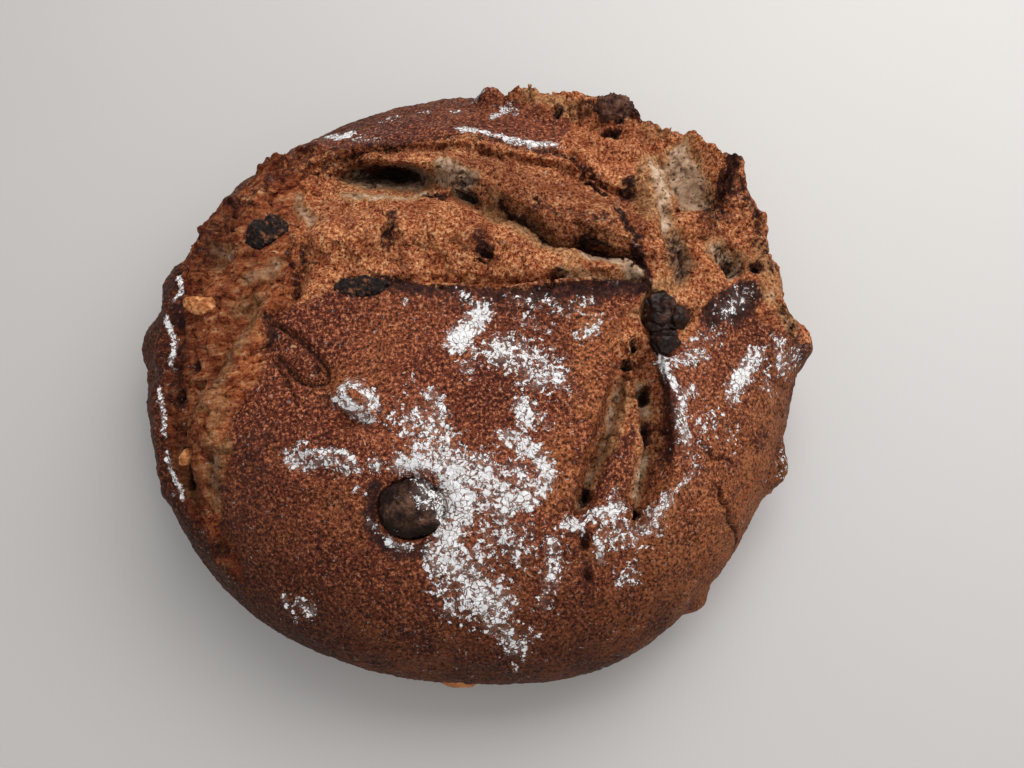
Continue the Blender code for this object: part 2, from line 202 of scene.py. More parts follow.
loaf = {
    "outline": (112, 113, 119, 115, 116, 116, 118, 119, 117, 115, 113, 109, 107, 110, 108, 107),
    "skinTop": 74, "widestHeight": 24, "footShare": 0.88, "shoulder": 2.5, "sink": 1.0,
    "widestPolar": 118, "footPolar": 136,
    "detail": 9, "triangles": 190000,
    # broad lumps: (height, width), all over, where it burst and on the crest at the back
    "swells": [(1.6, 31), (0.4, 13)], "crumbSwells": [(1.6, 11), (1.0, 5.5)],
    "crestSwell": (2.2, 8),
    # how far the fine relief stands out
    "lumps": 0.45, "crumbs": 0.40, "crags": 0.8, "holes": 1.6, "fibres": 0.55,
    "blisters": 0.34, "waves": 0.75, "raggedEdge": 1.3, "underside": 0.3,
    "folds": [
        dict(name="lip of the back skin", height=6, left=24, right=4.5, lean=-0.6, path=[
            (-82, 44, 0), (-67, 58, 0.7), (-53, 68, 1), (-35, 71, 1), (-18, 72, 1), (-3, 70, 1),
            (14, 65, 0.9), (30, 61, 0.7), (44, 54, 0.5), (56, 46, 0.2)]),
        dict(name="rolled sheet of crumb", height=11.5, left=17, right=15, lean=-0.6, path=[
            (-48, 64, 0.1), (-25, 62, 0.45), (-5, 57, 0.8), (12, 47, 1), (28, 38, 1),
            (43, 33, 1), (54, 24, 0.7), (58, 12, 0.3)]),
        dict(name="broad band of crumb", height=7, left=13, right=17, lean=-0.2, path=[
            (-64, 30, 0.3), (-42, 30, 0.8), (-15, 31, 1), (10, 22, 1), (34, 15, 0.8),
            (52, 13, 0.2)]),
        dict(name="gap behind the ledge", height=-4, left=4.5, right=3.5, path=[
            (-40, 11, 0.4), (-10, 10, 0.6), (10, 9, 0.8), (30, 10, 1), (52, 12, 0.8)]),
        dict(name="ledge of the front skin", height=4.5, left=3.5, right=16, lean=0.6, path=[
            (-44, 7, 0.4), (-24, 5, 0.5), (-8, 6, 0.5), (8, 5, 0.6), (27, 5, 1), (40, 6, 1),
            (54, 8, 0.5)]),
        dict(name="edge of the right skin", height=7, left=3.5, right=14, lean=0.5, path=[
            (62, -9, 0.3), (69, -3, 0.7), (78, 6, 0.9), (91, 15, 1), (96, 6, 0.9),
            (103, -3, 0.8), (110, -8, 0.4)]),
        dict(name="left crack", height=-6, left=4.5, right=4.5, lean=0.3, path=[
            (47, -12, 0.4), (43, -29, 0.9), (38, -45, 1), (34, -58, 0.9), (29, -67, 0.3)]),
        dict(name="right crack", height=-10, left=5, right=5, lean=0.5, path=[
            (52, -10, 0.5), (55, -28, 1), (56, -41, 1), (54, -53, 0.8), (50, -67, 0.3)]),
        dict(name="lip beside the right crack", height=4.5, left=9, right=3.5, lean=-0.4, path=[
            (59, -8, 0.2), (62, -24, 1), (63, -40, 1), (61, -54, 0.6), (57, -66, 0.2)]),
        dict(name="crease in the left crumb", height=-5, left=5, right=4, path=[
            (-57, 40, 0.3), (-57, 24, 1), (-58, 10, 1), (-66, 0, 0.8)]),
        dict(name="pale valley in the left crumb", height=-5, left=8, right=6, path=[
            (-66, 14, 0.4), (-75, 4, 1), (-85, -12, 1), (-92, -26, 0.5)]),
        dict(name="left torn wall", height=5, left=6, right=14, lean=0.3, path=[
            (-70, -1, 0.3), (-77, -18, 1), (-84, -35, 1), (-88, -50, 1), (-84, -68, 0.8),
            (-74, -82, 0.3)]),
        dict(name="torn edge of the side skin", height=4.5, left=6, right=5, lean=-0.3, path=[
            (-76, 64, 0.3), (-91, 46, 0.9), (-102, 22, 1), (-106, 0, 1), (-104, -25, 1),
            (-99, -46, 0.8), (-90, -66, 0.3)]),
        dict(name="wrinkle at the front", height=2, left=3.5, right=3.5, path=[
            (-26, -50, 0.3), (-40, -49, 1), (-53, -44, 1), (-57, -51, 0.8), (-45, -57, 0.8),
            (-30, -57, 0.3)]),
        dict(name="ragged crest at the back", height=13, left=11, right=12, lean=0.15, path=[
            (4, 97, 0.3), (14, 97, 0.5), (27, 92, 0.7), (45, 90, 0.95), (60, 81, 0.9),
            (74, 73, 0.9), (88, 65, 1), (94, 50, 0.9), (97, 34, 0.7), (101, 18, 0.5),
            (107, 2, 0.3)]),
        dict(name="spur between the hollows", height=6, left=7, right=7, path=[
            (92, 44, 0.6), (82, 42, 1), (72, 38, 1), (62, 36, 0.5)]),
        dict(name="twisted end of the rolled sheet", height=6, left=5, right=6, lean=0.2, path=[
            (53, 53, 0.5), (57, 44, 1), (58, 34, 0.7), (62, 22, 0.9), (62, 12, 0.4)]),
        dict(name="torn wall beside the back skin", height=5, left=8, right=7, path=[
            (38, 76, 0.4), (48, 70, 1), (58, 66, 1), (63, 56, 0.8), (65, 46, 0.4)]),
    ],
    # thin creases and small pores, placed on the burst surface. A crease with a dark line gives
    # the amount and the half width of that line, which is painted shade along the crease.
    "creases": [
        dict(name="outline of the tongue", burnt=(0.64, 0.9), height=-2.5, left=1.7, right=1.7,
             path=[
            (-67, -1, 0.5), (-59, -6, 1), (-54, -10, 1), (-49, -15, 1), (-46, -19, 1),
            (-46, -23, 1), (-50, -24, 1), (-55, -22, 0.9), (-58, -18, 0.7), (-62, -14, 0.4)]),
        dict(name="swell of the tongue", height=1.3, left=5, right=5, path=[
            (-64, -5, 0.4), (-56, -12, 0.9), (-50, -18, 0.8)]),
        dict(name="seam below the tongue", burnt=(0.52, 0.8), height=-1.6, left=1.4, right=1.4,
             path=[
            (-63, -15, 0.5), (-57, -25, 1), (-54, -31, 0.5)]),
        dict(name="crease on the rolled sheet", height=-1.6, left=2, right=2, path=[
            (-4, 66, 0.3), (3, 62, 0.8), (10, 56, 1), (17, 44, 1), (22, 37, 0.3)]),
        dict(name="crease below the back skin", height=-2.4, left=2.6, right=2.2, path=[
            (10, 66, 0.4), (29, 62, 1), (36, 56, 1), (42, 52, 0.9), (47, 47, 0.3)]),
        dict(name="slot in the rolled sheet", burnt=(0.95, 1.2), height=-2.6, left=1.4, right=1.4,
             path=[
            (37, 51, 0.6), (40, 49, 1), (43, 46, 0.5)]),
        dict(name="gap under the rolled sheet", burnt=(0.85, 1.0), height=-5,
             left=2.2, right=2.2, lean=-0.3, path=[
            (8, 37, 0.4), (12, 34, 0.9), (18, 30, 1), (24, 25, 1), (29, 22, 0.9),
            (35, 25, 0.8), (41, 23, 0.9), (47, 21, 1), (50, 19, 1), (53, 15, 0.6)]),
        dict(name="right front crack", burnt=(0.62, 0.7), height=-3.4, left=1.2, right=1.2, path=[
            (75, -51, 0.5), (76.5, -53, 1), (77, -55.5, 0.8), (79.5, -57, 1), (79.5, -59.5, 0.6),
            (82, -61, 1), (84.5, -63.5, 0.9), (84.5, -66, 0.7), (87, -68, 0.4)]),
        dict(name="right upper crack", burnt=(0.50, 0.7), height=-2.4, left=1.1, right=1.1, path=[
            (69, -40, 0.5), (72, -41, 1), (74, -43.5, 0.7), (78, -42.5, 0.9), (82, -44, 0.4)]),
        dict(name="left pale crack", height=-3, left=1.8, right=1.8, path=[
            (46, -21, 0.5), (44, -28, 1), (41, -38, 0.8), (38, -44, 1), (35, -51, 0.9),
            (33, -58, 1), (31, -62, 0.5)]),
        dict(name="crease on the golden slope", burnt=(0.40, 0.8), height=-1.4, left=1.6, right=1.6,
             path=[
            (24, -49, 0.4), (32, -49, 1), (37, -45, 0.6)]),
        dict(name="rim beside the lower hollow", height=-2.5, left=2, right=2, path=[
            (-91, -41, 0.5), (-91, -47, 1), (-88, -54, 1), (-84, -60, 0.5)]),
    ],
    # (x, y, half width, half depth, how far down)
    "pores": [
        (48, -16, 3.4, 3.4, 7), (50, -9.5, 1.7, 1.7, 4), (53, -24, 1.8, 3.2, 5),
        (53, -36, 3, 3, 3), (49, -61, 1.8, 2.4, 5), (34, -57, 1.4, 3.4, 4),
        (33, -71, 2.4, 3.4, 4), (34, -80, 2, 3, 3), (-96, -21, 2.2, 3, 5), (-91, -11, 1.8, 3, 3),
        (-90, -18, 3, 1.6, 2.5), (-91, -45, 1.4, 5, 3.5), (-80, -69, 6, 3.6, 4),
        (-59, 10, 2.2, 2.6, 4), (50, 83, 1.8, 1.8, 4), (57, 84, 2.6, 2, 4), (28, 87, 2, 2.6, 4),
        (47, 79, 3.2, 1.8, 4), (95, 26, 2.6, 2.8, 4), (3, 18, 2.6, 1.8, 4), (16, 32, 1.2, 1.2, 2),
        (-4, 46, 4.6, 2.2, 4), (-15, 44, 3.6, 1.5, 3), (-49, -19, 1.5, 2.4, 2.4),
        (25, 11, 1.5, 1.8, 2), (66, 22, 3.4, 7, 4), (86, 30, 5, 4, 4), (-78, 26, 5, 2.6, 2.5),
        (-68, 17, 3, 2.4, 2.5), (73, 50, 2, 2, 2.5), (68, 44, 1.6, 1.4, 2),
        (-56, 50, 3.4, 2.2, 3), (-49, 56, 3, 2, 3), (-84, 12, 2, 1.4, 2),
    ],
    # a hollow may carry pale colour on its floor and painted shadow at its bottom
    "pits": [
        dict(name="cave under the rolled sheet", at=(-31, 53), size=(28, 10), depth=20, turn=-6,
             lean=(0, 0.8), pale=0.8, deep=1.0),
        dict(name="small cave", at=(-4, 41), size=(8, 5), depth=8, turn=-30, lean=(0.2, 0.8),
             pale=0.7, deep=0.9),
        dict(name="gap under the rolled sheet", at=(38, 22), size=(15, 5), depth=6, turn=-10,
             lean=(0, 0.7), deep=0.7),
        dict(name="large back hollow", at=(75, 56), size=(13, 14), depth=11, turn=-30, pale=0.75),
        dict(name="inner hollow", at=(67, 24), size=(9, 8), depth=7, pale=0.7),
        dict(name="outer hollow", at=(85, 27), size=(8, 9), depth=9, pale=0.7),
        dict(name="upper left hollow", at=(-88, 30), size=(10, 8), depth=5, turn=60, pale=0.5),
        dict(name="lower left hollow", at=(-92, -45), size=(18, 7), depth=6, turn=-70, pale=0.4),
        dict(name="knob on the rolled sheet", at=(55, 50), size=(6, 5), depth=-4),
        dict(name="hollow round the raisins", at=(63, -6), size=(14, 13), depth=3),
        dict(name="hollow under the flour", at=(-37, -36), size=(9, 4), depth=5, turn=-4),
        dict(name="bump under the flour", at=(-37, -28), size=(9, 6), depth=-3, turn=-10),
        dict(name="bowl round the front nut", at=(-20, -62), size=(16, 15), depth=5),
        dict(name="ring of flour", at=(17, -74), size=(13, 12), depth=-1.5),
        dict(name="swelling at the front left", at=(-58, -88), size=(14, 9), depth=-3, turn=-35),
    ],
    # (angle in plan, height, reach round the wall, up, out)
    "bulges": [(175, 27, 15, 14, 5), (163, 33, 13, 10, 3), (-20, 26, 14, 9, 5),
               (2, 38, 12, 12, 6), (-48, 20, 8, 7, 3)],
    # (x, y, radius, height)
    "tips": [(-27, 28, 4, 2), (1, 21, 4, 2), (3, 98, 3, 2.5), (6, 98, 3, 3), (0, 98, 4, 2),
             (2, 97, 8, 2.5), (13, 98, 3, 3), (18, 96, 4, 3), (16, 97, 8, 2.5), (26, 94, 3, 2),
             (34, 95, 6, 3), (30, 94, 3, 2), (56, 84, 3, 6), (61, 80, 5, 3), (74, 73, 4, 5),
             (82, 70, 4, 5), (90, 65, 4, 6), (91, 61, 7, 5), (87, 67, 3, 3), (67, 76, 3, 3),
             (78, 72, 3, 3), (97, 44, 5, 4), (102, 28, 4, 3), (-70, 69, 3, 5), (-73, 71, 3, 4),
             (-78, 75, 3, 4), (-81, 72, 3, 5), (-76, 72, 5, 3), (-60, 73, 6, 4), (-65, 72, 3, 4),
             (-94, 40, 6, 3), (-88, 52, 3, 3), (-98, 34, 3, 3)],
    # where the skin has burst and crumb shows
    "torn": [
        (-40, 10), (-31, 10), (-21, 9), (-14, 6), (-5, 6), (7, 5), (20, 5), (30, 5), (40, 7),
        (49, 9), (54, 9), (51, 4), (47, -2), (43, -8), (43, -13), (45, -16), (43, -22),
        (42, -29), (40, -37), (37, -44), (34, -48), (32, -55), (30, -61), (32, -63), (36, -56),
        (38, -50), (42, -46), (45, -41), (48, -36), (49, -30), (49, -38), (48, -47), (47, -56),
        (47, -63), (49, -65), (51, -62), (53, -54), (54, -47), (56, -44), (58, -39), (59, -32),
        (59, -26), (58, -20), (57, -14), (58, -11), (63, -11), (68, -7), (71, -1), (73, 3),
        (76, 7), (81, 10), (86, 15), (93, 17), (92, 10), (92, 4), (98, 2), (106, 3), (111, 1),
        (124, 10), (122, 34), (116, 52), (104, 72), (86, 90), (66, 99), (50, 105), (38, 103),
        (26, 104), (16, 101), (9, 99), (10, 95), (16, 91), (27, 86), (33, 83), (30, 71),
        (27, 65), (18, 64), (11, 66), (3, 70), (-8, 71), (-17, 70),
        (-27, 67), (-36, 66), (-44, 67), (-50, 67), (-56, 69), (-64, 70), (-70, 74), (-82, 70),
        (-94, 58), (-106, 44), (-109, 32), (-101, 20), (-103, 16), (-104, 7), (-102, 2),
        (-100, -4), (-102, -10), (-103, -16), (-101, -22), (-100, -34), (-99, -39), (-96, -47),
        (-93, -53), (-89, -59), (-83, -67), (-81, -72), (-77, -76), (-73, -79), (-73, -75),
        (-74, -69), (-78, -66), (-80, -63), (-78, -59), (-78, -54), (-77, -49), (-75, -44),
        (-76, -36), (-75, -29), (-72, -25), (-69, -22), (-66, -16), (-68, -12), (-65, -8),
        (-68, -3), (-67, 3), (-62, 5), (-56, 3), (-51, 5), (-45, 7)],
}

# What is painted on the loaf's points, as strokes seen from above: (amount, half width, path).
paint = {
    "flour": [
        (1, 3.8, [(2, -2), (-1, -6), (-6, -12)]), (0.7, 1.4, [(-1, -14), (0, -15)]),
        (0.9, 0.9, [(1, -16), (5, -15), (8, -17)]), (0.55, 3.8, [(-2, -20)]),
        (0.5, 1.7, [(-6, 5), (-3, 3), (-2, 1)]), (0.6, 1.7, [(-22, 1)]),
        (0.5, 1.7, [(-19, -24), (-21, -28), (-23, -33), (-26, -37)]),
        (0.75, 2.4, [(-13, -29), (-11, -32), (-10, -35)]),
        (0.75, 7.6, [(-15, -39), (-13, -43), (-12, -47)]),
        (0.85, 2.1, [(-40, -27), (-36, -26), (-32, -29), (-29, -34)]),
        (0.8, 2.1, [(-42, -30), (-36, -33), (-31, -36)]),
        (0.8, 1.4, [(-57, -45), (-54, -47), (-47, -46), (-41, -46), (-37, -48), (-34, -52)]),
        (0.75, 1.7, [(-56, -48), (-51, -50), (-44, -49), (-38, -52)]),
        (0.7, 1.7, [(-52, -43), (-55, -46)]), (0.85, 2.4, [(-29, -50)]),
        (0.5, 1.4, [(-35, -57), (-33, -58)]),
        (0.9, 2.8, [(-22, -50), (-16, -49), (-10, -52), (-7, -58), (-7, -62), (-11, -67)]),
        (1, 5.9, [(-6, -51), (-4, -56), (-4, -62)]),
        (0.9, 4.8, [(-5, -66), (-8, -71), (-10, -77)]),
        (0.85, 5.5, [(2, -52), (6, -58), (9, -62)]),
        (0.85, 3.1, [(10, -42), (14, -44), (19, -48), (22, -53), (20, -57), (16, -61)]),
        (0.7, 4.5, [(12, -52), (14, -57)]), (0.62, 8.6, [(10, -72)]),
        (0.7, 5.2, [(-8, -77), (-3, -80), (1, -77)]), (0.85, 6.9, [(1, -87), (6, -89)]),
        (0.6, 4.8, [(-8, -84), (-7, -88)]), (0.65, 4.1, [(10, -97), (13, -99)]),
        (0.5, 3.1, [(17, -96)]), (0.6, 1, [(13, -105)]), (0.7, 2.4, [(-53, -87), (-50, -88)]),
        (0.55, 1.4, [(-58, -85), (-55, -90)]),
        (0.75, 1.2, [(-31, -66), (-28, -68), (-24, -72), (-19, -73)]),
        (0.74, 6.9, [(9, -15), (15, -17), (19, -21)]), (0.6, 4.8, [(24, -19), (26, -24)]),
        (0.65, 2.1, [(39, -4), (36, -7), (32, -9)]),
        (0.5, 2.4, [(12, 2), (17, 1), (23, 2), (27, -2), (36, 2)]),
        (0.45, 3.1, [(22, -6), (14, -4)]), (0.8, 3.4, [(15, -32), (16, -37)]),
        (0.5, 2.8, [(20, -35), (22, -38)]), (0.65, 3.1, [(23, -72), (24, -77), (23, -83)]),
        (0.55, 3.1, [(21, -88)]), (1, 2.1, [(28, -67), (31, -67)]),
        (0.9, 2.1, [(35, -64), (40, -63), (44, -61)]), (0.7, 1.2, [(41, -59), (43, -56)]),
        (0.6, 4.8, [(41, -68), (49, -68), (53, -66)]), (0.9, 2.1, [(59, -58), (55, -62)]),
        (0.6, 1.2, [(61, -56), (65, -52), (68, -48)]), (0.75, 1.4, [(37, -70), (38, -76)]),
        (0.6, 2.8, [(48, -79), (45, -81)]), (0.9, 1.4, [(57, -12), (59, -18), (62, -26)]),
        (0.85, 2.1, [(64, -29), (63, -35), (65, -40)]), (0.7, 1.7, [(65, -26), (70, -23)]),
        (0.7, 2.4, [(61, -16), (67, -13), (73, -11)]), (0.55, 3.4, [(70, -7), (77, -4)]),
        (0.9, 3.1, [(92, -7), (86, -15), (82, -23)]), (0.5, 3.1, [(95, -12), (96, -16)]),
        (0.7, 2.8, [(100, -3), (101, -9)]), (0.6, 2.8, [(105, -6), (109, -1)]),
        (0.6, 3.4, [(81, 4), (86, 9), (91, 13)]), (0.4, 5.5, [(66, -43), (72, -32), (79, -34)]),
        (0.95, 2.1, [(-6, 74), (4, 70), (14, 67), (29, 67)]),
        (0.8, 1.7, [(4, 85), (9, 91), (13, 90)]), (0.6, 2.1, [(-2, 97), (2, 99)]),
        (0.7, 1.4, [(-10, 91), (-8, 90)]), (0.6, 1.4, [(-22, 92), (-18, 91)]),
        (0.95, 2.4, [(-56, 84), (-50, 77), (-47, 79)]), (0.5, 2.4, [(-43, 74), (-37, 71)]),
        (0.6, 1.4, [(-36, 88), (-31, 92)]), (0.6, 1.7, [(-63, 67), (-66, 63)]),
        (0.4, 5, [(108, -32), (106, -38)]),
    ],
    # dark strokes: char on the torn edges and crests, and painted shade in the pores, cracks,
    # creases and the gap under the rolled sheet
    "burnt": [
        (1, 2.4, [(18, 4), (30, 5), (40, 6), (49, 8), (54, 9)]),
        (0.75, 1.7, [(-14, 6), (-5, 6), (7, 5), (20, 5)]),
        (0.5, 4, [(-11, 3), (1, 2), (14, 1), (26, 1), (39, 3)]),
        (1, 3.4, [(-40, 10), (-34, 9), (-27, 9), (-21, 7)]), (0.8, 2.2, [(-21, 6), (-14, 5)]),
        (0.72, 3, [(51, 51), (50, 45)]), (0.75, 1.8, [(46, 35), (49, 29), (52, 24)]),
        (0.85, 1.5, [(51, 22), (53, 18), (55, 12)]),
        (0.64, 2.4, [(-27, 32), (-27, 27), (-29, 23)]), (0.62, 2, [(1, 25), (1, 21), (3, 17)]),
        (0.6, 1.6, [(24, 11), (27, 11), (30, 8)]),
        (1, 3.2, [(90, 14), (84, 9), (80, 6), (75, 1)]),
        (0.85, 3.4, [(91, 12), (88, 8), (84, 4)]),
        (0.45, 4.5, [(18, 36), (26, 32), (34, 30), (42, 29)]),
        (0.8, 3, [(90, 67), (88, 62), (87, 58)]), (0.6, 6, [(86, 56), (83, 50), (79, 42)]),
        (0.55, 1.7, [(-52, 67), (-35, 66), (-17, 69), (-8, 69), (3, 68), (11, 65), (18, 63),
                     (28, 63), (36, 57), (43, 51)]),
        (0.36, 1.3, [(3, 62), (10, 56), (17, 44), (22, 37)]),
        (0.45, 5, [(-60, 62), (-50, 62), (-42, 62)]),
        (0.9, 2.4, [(-101, 14), (-102, 10), (-100, 6)]),
        (0.55, 3, [(-98, -2), (-99, -12), (-98, -20)]),
        (0.6, 2.4, [(-67, 1), (-64, -6), (-66, -10)]),
        (0.6, 1.8, [(-57, 26), (-58, 21), (-59, 15), (-58, 8)]),
        (0.5, 1.8, [(-46, -29), (-39, -33), (-33, -36), (-31, -39)]),
        (0.6, 1.9, [(58, -15), (60, -26), (60, -35), (60, -42), (58, -47)]),
        (0.8, 2.4, [(53, -34), (53, -38)]),
        (1, 2, [(48, -16)]), (0.95, 1.6, [(50, -9.5)]), (0.9, 1.8, [(53, -23), (53, -26)]),
        (1, 1.6, [(49, -61)]), (0.9, 1.2, [(34, -55), (33, -60)]),
        (0.62, 1.6, [(33, -69), (33, -73)]), (0.6, 1.6, [(34, -77), (34, -82)]),
        (0.9, 1.9, [(-96, -20), (-96, -23)]), (0.7, 1.6, [(-91, -10), (-91, -13)]),
        (0.9, 1.3, [(-91, -42), (-91, -49)]), (0.5, 2.4, [(-82, -68), (-78, -71)]),
        (0.85, 2, [(50, 83)]), (0.9, 2.4, [(56, 84), (58, 84)]), (0.8, 2, [(28, 87)]),
        (0.8, 1.8, [(45, 79), (49, 79)]), (0.85, 2.4, [(95, 26)]), (1, 1.8, [(2, 18), (4, 18)]),
        (0.9, 1, [(16, 32)]), (0.55, 1.2, [(-8, 48), (-4, 46), (0, 43)]),
        (0.8, 1.4, [(-18, 45), (-11, 43)]), (0.6, 1.3, [(-49, -18), (-49, -20)]),
        (0.62, 5, [(66, 28), (65, 18)]), (0.5, 5, [(84, 31), (88, 29)]),
        (0.4, 9, [(-69, -40), (-71, -52), (-72, -62)]),
        (0.45, 7, [(-60, 66), (-74, 60), (-88, 46), (-97, 32)]),
        (0.95, 1.2, [(-85, 54), (-88, 52)]), (0.9, 1.2, [(-108, 33), (-106, 30)]),
        (0.55, 2.4, [(104, 12), (107, 4), (112, -2)]), (0.55, 3, [(92, 58), (96, 44), (100, 26)]),
        (0.85, 2, [(-29, -56), (-31, -63), (-29, -70), (-22, -74), (-15, -74)]),
        (0.5, 3, [(56, 3), (62, 4), (70, 2)]), (0.6, 2.5, [(57, -6), (58, -12)]),
        (0.5, 1.6, [(-60, 28), (-62, 24)]), (0.9, 1, [(-61, 20)]),
        (0.5, 5, [(36, 88), (48, 90), (60, 84)]),
    ],
    "pale": [
        (0.45, 4, [(-45, 48), (-35, 46), (-26, 45), (-18, 47)]),
        (0.8, 2.4, [(-45, 47), (-35, 45), (-26, 44), (-18, 47)]),
        (0.9, 3, [(-13, 56), (-8, 50), (-2, 45)]),
        (0.95, 3, [(36, 19), (42, 20), (48, 16), (51, 14)]),
        (0.55, 4, [(4, 36), (12, 30), (20, 25), (30, 18)]),
        (0.85, 3.8, [(62, 66), (63, 52), (62, 44), (62, 36)]), (1, 6, [(71, 66), (76, 60)]),
        (0.8, 4, [(66, 30), (65, 16)]), (0.8, 4.5, [(82, 31), (88, 29)]),
        (0.5, 4.5, [(58, 60), (56, 48), (58, 36)]),
        (0.5, 4, [(-72, 4), (-75, -8), (-79, -13), (-82, -23), (-88, -26)]),
        (0.62, 2.6, [(-72, 9), (-75, 7), (-79, 6)]),
        (0.4, 3, [(-78, -28), (-81, -34), (-82, -39)]),
        (0.6, 3, [(-76, -41), (-80, -44), (-81, -50), (-79, -58)]),
        (0.72, 2.4, [(-62, 50), (-61, 44), (-56, 38)]),
        (0.7, 3, [(-66, 20), (-71, 17), (-75, 16)]),
        (0.7, 2.6, [(-92, 34), (-88, 33), (-84, 30)]), (0.3, 3, [(-92, -20), (-90, -32)]),
        (0.7, 1.8, [(45, -24), (42, -32), (41, -39), (38, -44), (36, -49), (34, -55), (32, -61)]),
        (0.5, 4.2, [(45, -24), (42, -36), (37, -48), (33, -58)]),
        (0.75, 2.4, [(52, -22), (54, -30)]), (0.8, 2, [(53, -42), (51, -50), (49, -57)]),
        (0.6, 3.6, [(96, 13), (101, 11), (105, 7)]), (0.5, 4, [(97, 32), (101, 18)]),
        (0.45, 3.5, [(18, 96), (26, 91), (32, 88)]), (0.4, 3, [(60, 76), (66, 78)]),
        (0.6, 2.6, [(28, 11), (38, 10), (48, 10)]), (0.45, 3, [(50, 0), (58, 8), (66, 12)]),
    ],
    "tan": [
        (0.8, 26, [(100, -35), (84, -62), (58, -84)]),
        (0.45, 20, [(-20, -100), (20, -100), (50, -92)]),
        (0.95, 7, [(37, -6), (36, -14), (37, -23), (35, -36), (30, -48), (27, -58)]),
        (0.8, 3.4, [(48, -2), (45, -9)]), (0.6, 6, [(-36, -24), (-42, -24)]),
        (0.2, 8, [(-30, -10), (-24, -4)]), (0.4, 9, [(-40, -62), (-30, -66)]),
    ],
    # painted shade: skin and crumb painted darker in the cracks and hollows, under and beside the
    # rolled sheet and on the left, back and front walls; at the front partly a skin baked darker
    "shade": [
        (1, 42, [(-78, -100), (-40, -120), (10, -124), (38, -118)]),
        (0.22, 5, [(-66, -4), (-56, -12), (-50, -20)]),
        (0.55, 4, [(45, -24), (41, -39), (34, -57)]), (0.55, 4, [(53, -20), (53, -42), (50, -58)]),
        (1, 10, [(-92, 44), (-104, 20), (-102, 0), (-100, -20), (-94, -45), (-86, -66)]),
        (0.35, 12, [(-74, 34), (-80, 10), (-84, -10)]),
        (0.3, 5, [(38, 88), (60, 83), (88, 68), (99, 46), (104, 26)]),
        (0.75, 4, [(-3, 58), (3, 51), (9, 44), (15, 37)]),
        (0.62, 4, [(-50, 65), (-35, 64), (-15, 66), (2, 62)]),
        (0.95, 4.5, [(67, 26), (66, 17)]), (0.9, 4, [(56, -12), (58, -22), (60, -34), (60, -42)]),
        (0.5, 5, [(4, 40), (14, 33), (24, 28), (36, 24), (43, 27)]),
        (0.45, 20, [(-60, 84), (-30, 90), (-4, 88)]),
        (0.55, 9, [(-2, 56), (18, 46), (40, 40), (50, 34)]),
        (0.2, 14, [(-72, -44), (-74, -62), (-66, -76)]),
        (0.3, 10, [(20, -8), (10, -24), (4, -34)]),
        (0.45, 12, [(-104, -20), (-108, 10), (-100, 40)]),
    ],
    # painted shadow: holes and gaps painted nearly black
    "deep": [
        (0.75, 1.2, [(8, 37), (12, 34), (18, 30), (24, 25)]),
        (0.7, 1, [(35, 25), (41, 23), (47, 21), (50, 19)]),
        (0.6, 1.6, [(-83, -42), (-81, -47), (-79, -53)]),
    ],
    # dusty white line along the torn rim of the side skin
    "rim": [
        (0.85, 0.7, [(-103, 25), (-101, 19), (-103, 14)]),
        (0.95, 0.8, [(-105, 8), (-103, 3), (-101, -1), (-102, -8)]),
        (0.95, 0.7, [(-104, -18), (-102, -25), (-101, -33)]),
        (0.8, 0.6, [(-100, -38), (-98, -44), (-95, -49), (-93, -54)]),
    ],
}

# the dark line of a crease is painted shade, put with the dark strokes
for crease in loaf["creases"]:
    if "burnt" in crease:
        paint["burnt"].append((*crease["burnt"], [spot[:2] for spot in crease["path"]]))


def outlineRadius(angle):
    count = len(loaf["outline"])
    closed = np.array(loaf["outline"], float)
    place = (angle / math.tau * count) % count
    whole = np.floor(place).astype(int)
    f = place - whole
    a, b, c, d = (closed[(whole + k) % count] for k in (-1, 0, 1, 2))
    cubic = (3 * b - a - 3 * c + d) * f**3 + (2 * a - 5 * b + 4 * c - d) * f**2
    return 0.5 * (cubic + (c - a) * f + 2 * b)


def doughBody(directions):
    # the loaf before it burst, from the directions of a ball's points
    angle = np.arctan2(directions[:, 1], directions[:, 0])
    polar = np.degrees(np.arccos(np.clip(directions[:, 2], -1, 1)))
    widest, foot = loaf["widestPolar"], loaf["footPolar"]
    wide, footShare = loaf["widestHeight"], loaf["footShare"]
    out = np.sin(np.radians(90 * np.clip(polar / widest, 0, 1)))
    height = wide + (loaf["skinTop"] - wide) * np.sqrt(1 - out ** loaf["shoulder"])
    turn = np.radians(90 * np.clip((polar - widest) / (foot - widest), 0, 1))
    below = polar > widest
    out = np.where(below, footShare + (1 - footShare) * np.cos(turn), out)
    height = np.where(below, wide * (1 - np.sin(turn)) - loaf["sink"] * np.sin(turn), height)
    out = np.where(polar > foot, footShare * (180 - polar) / (180 - foot), out)
    radius = outlineRadius(angle) * out
    points = np.column_stack([radius * np.cos(angle), radius * np.sin(angle), height])
    return points, np.clip((height - wide) / 14, 0, 1), angle


def broadTornShare(xy):
    # the broad zones that burst, which carry the larger lumps
    x, y = xy.T
    behindLedge = np.clip((y - 8 + np.clip(x - 54, 0, 60) * 0.1) / 4, 0, 1)
    beforeBackSkin = np.clip((70 - y - np.clip(abs(x + 25) - 25, 0, 60) * 0.35) / 4, 0, 1)
    right = np.clip((x - 45) / 8, 0, 1)
    left = np.clip((-64 - x - 0.35 * np.clip(-y, 0, 80)) / 5, 0, 1)
    return np.maximum(behindLedge * np.maximum(beforeBackSkin, right), left)


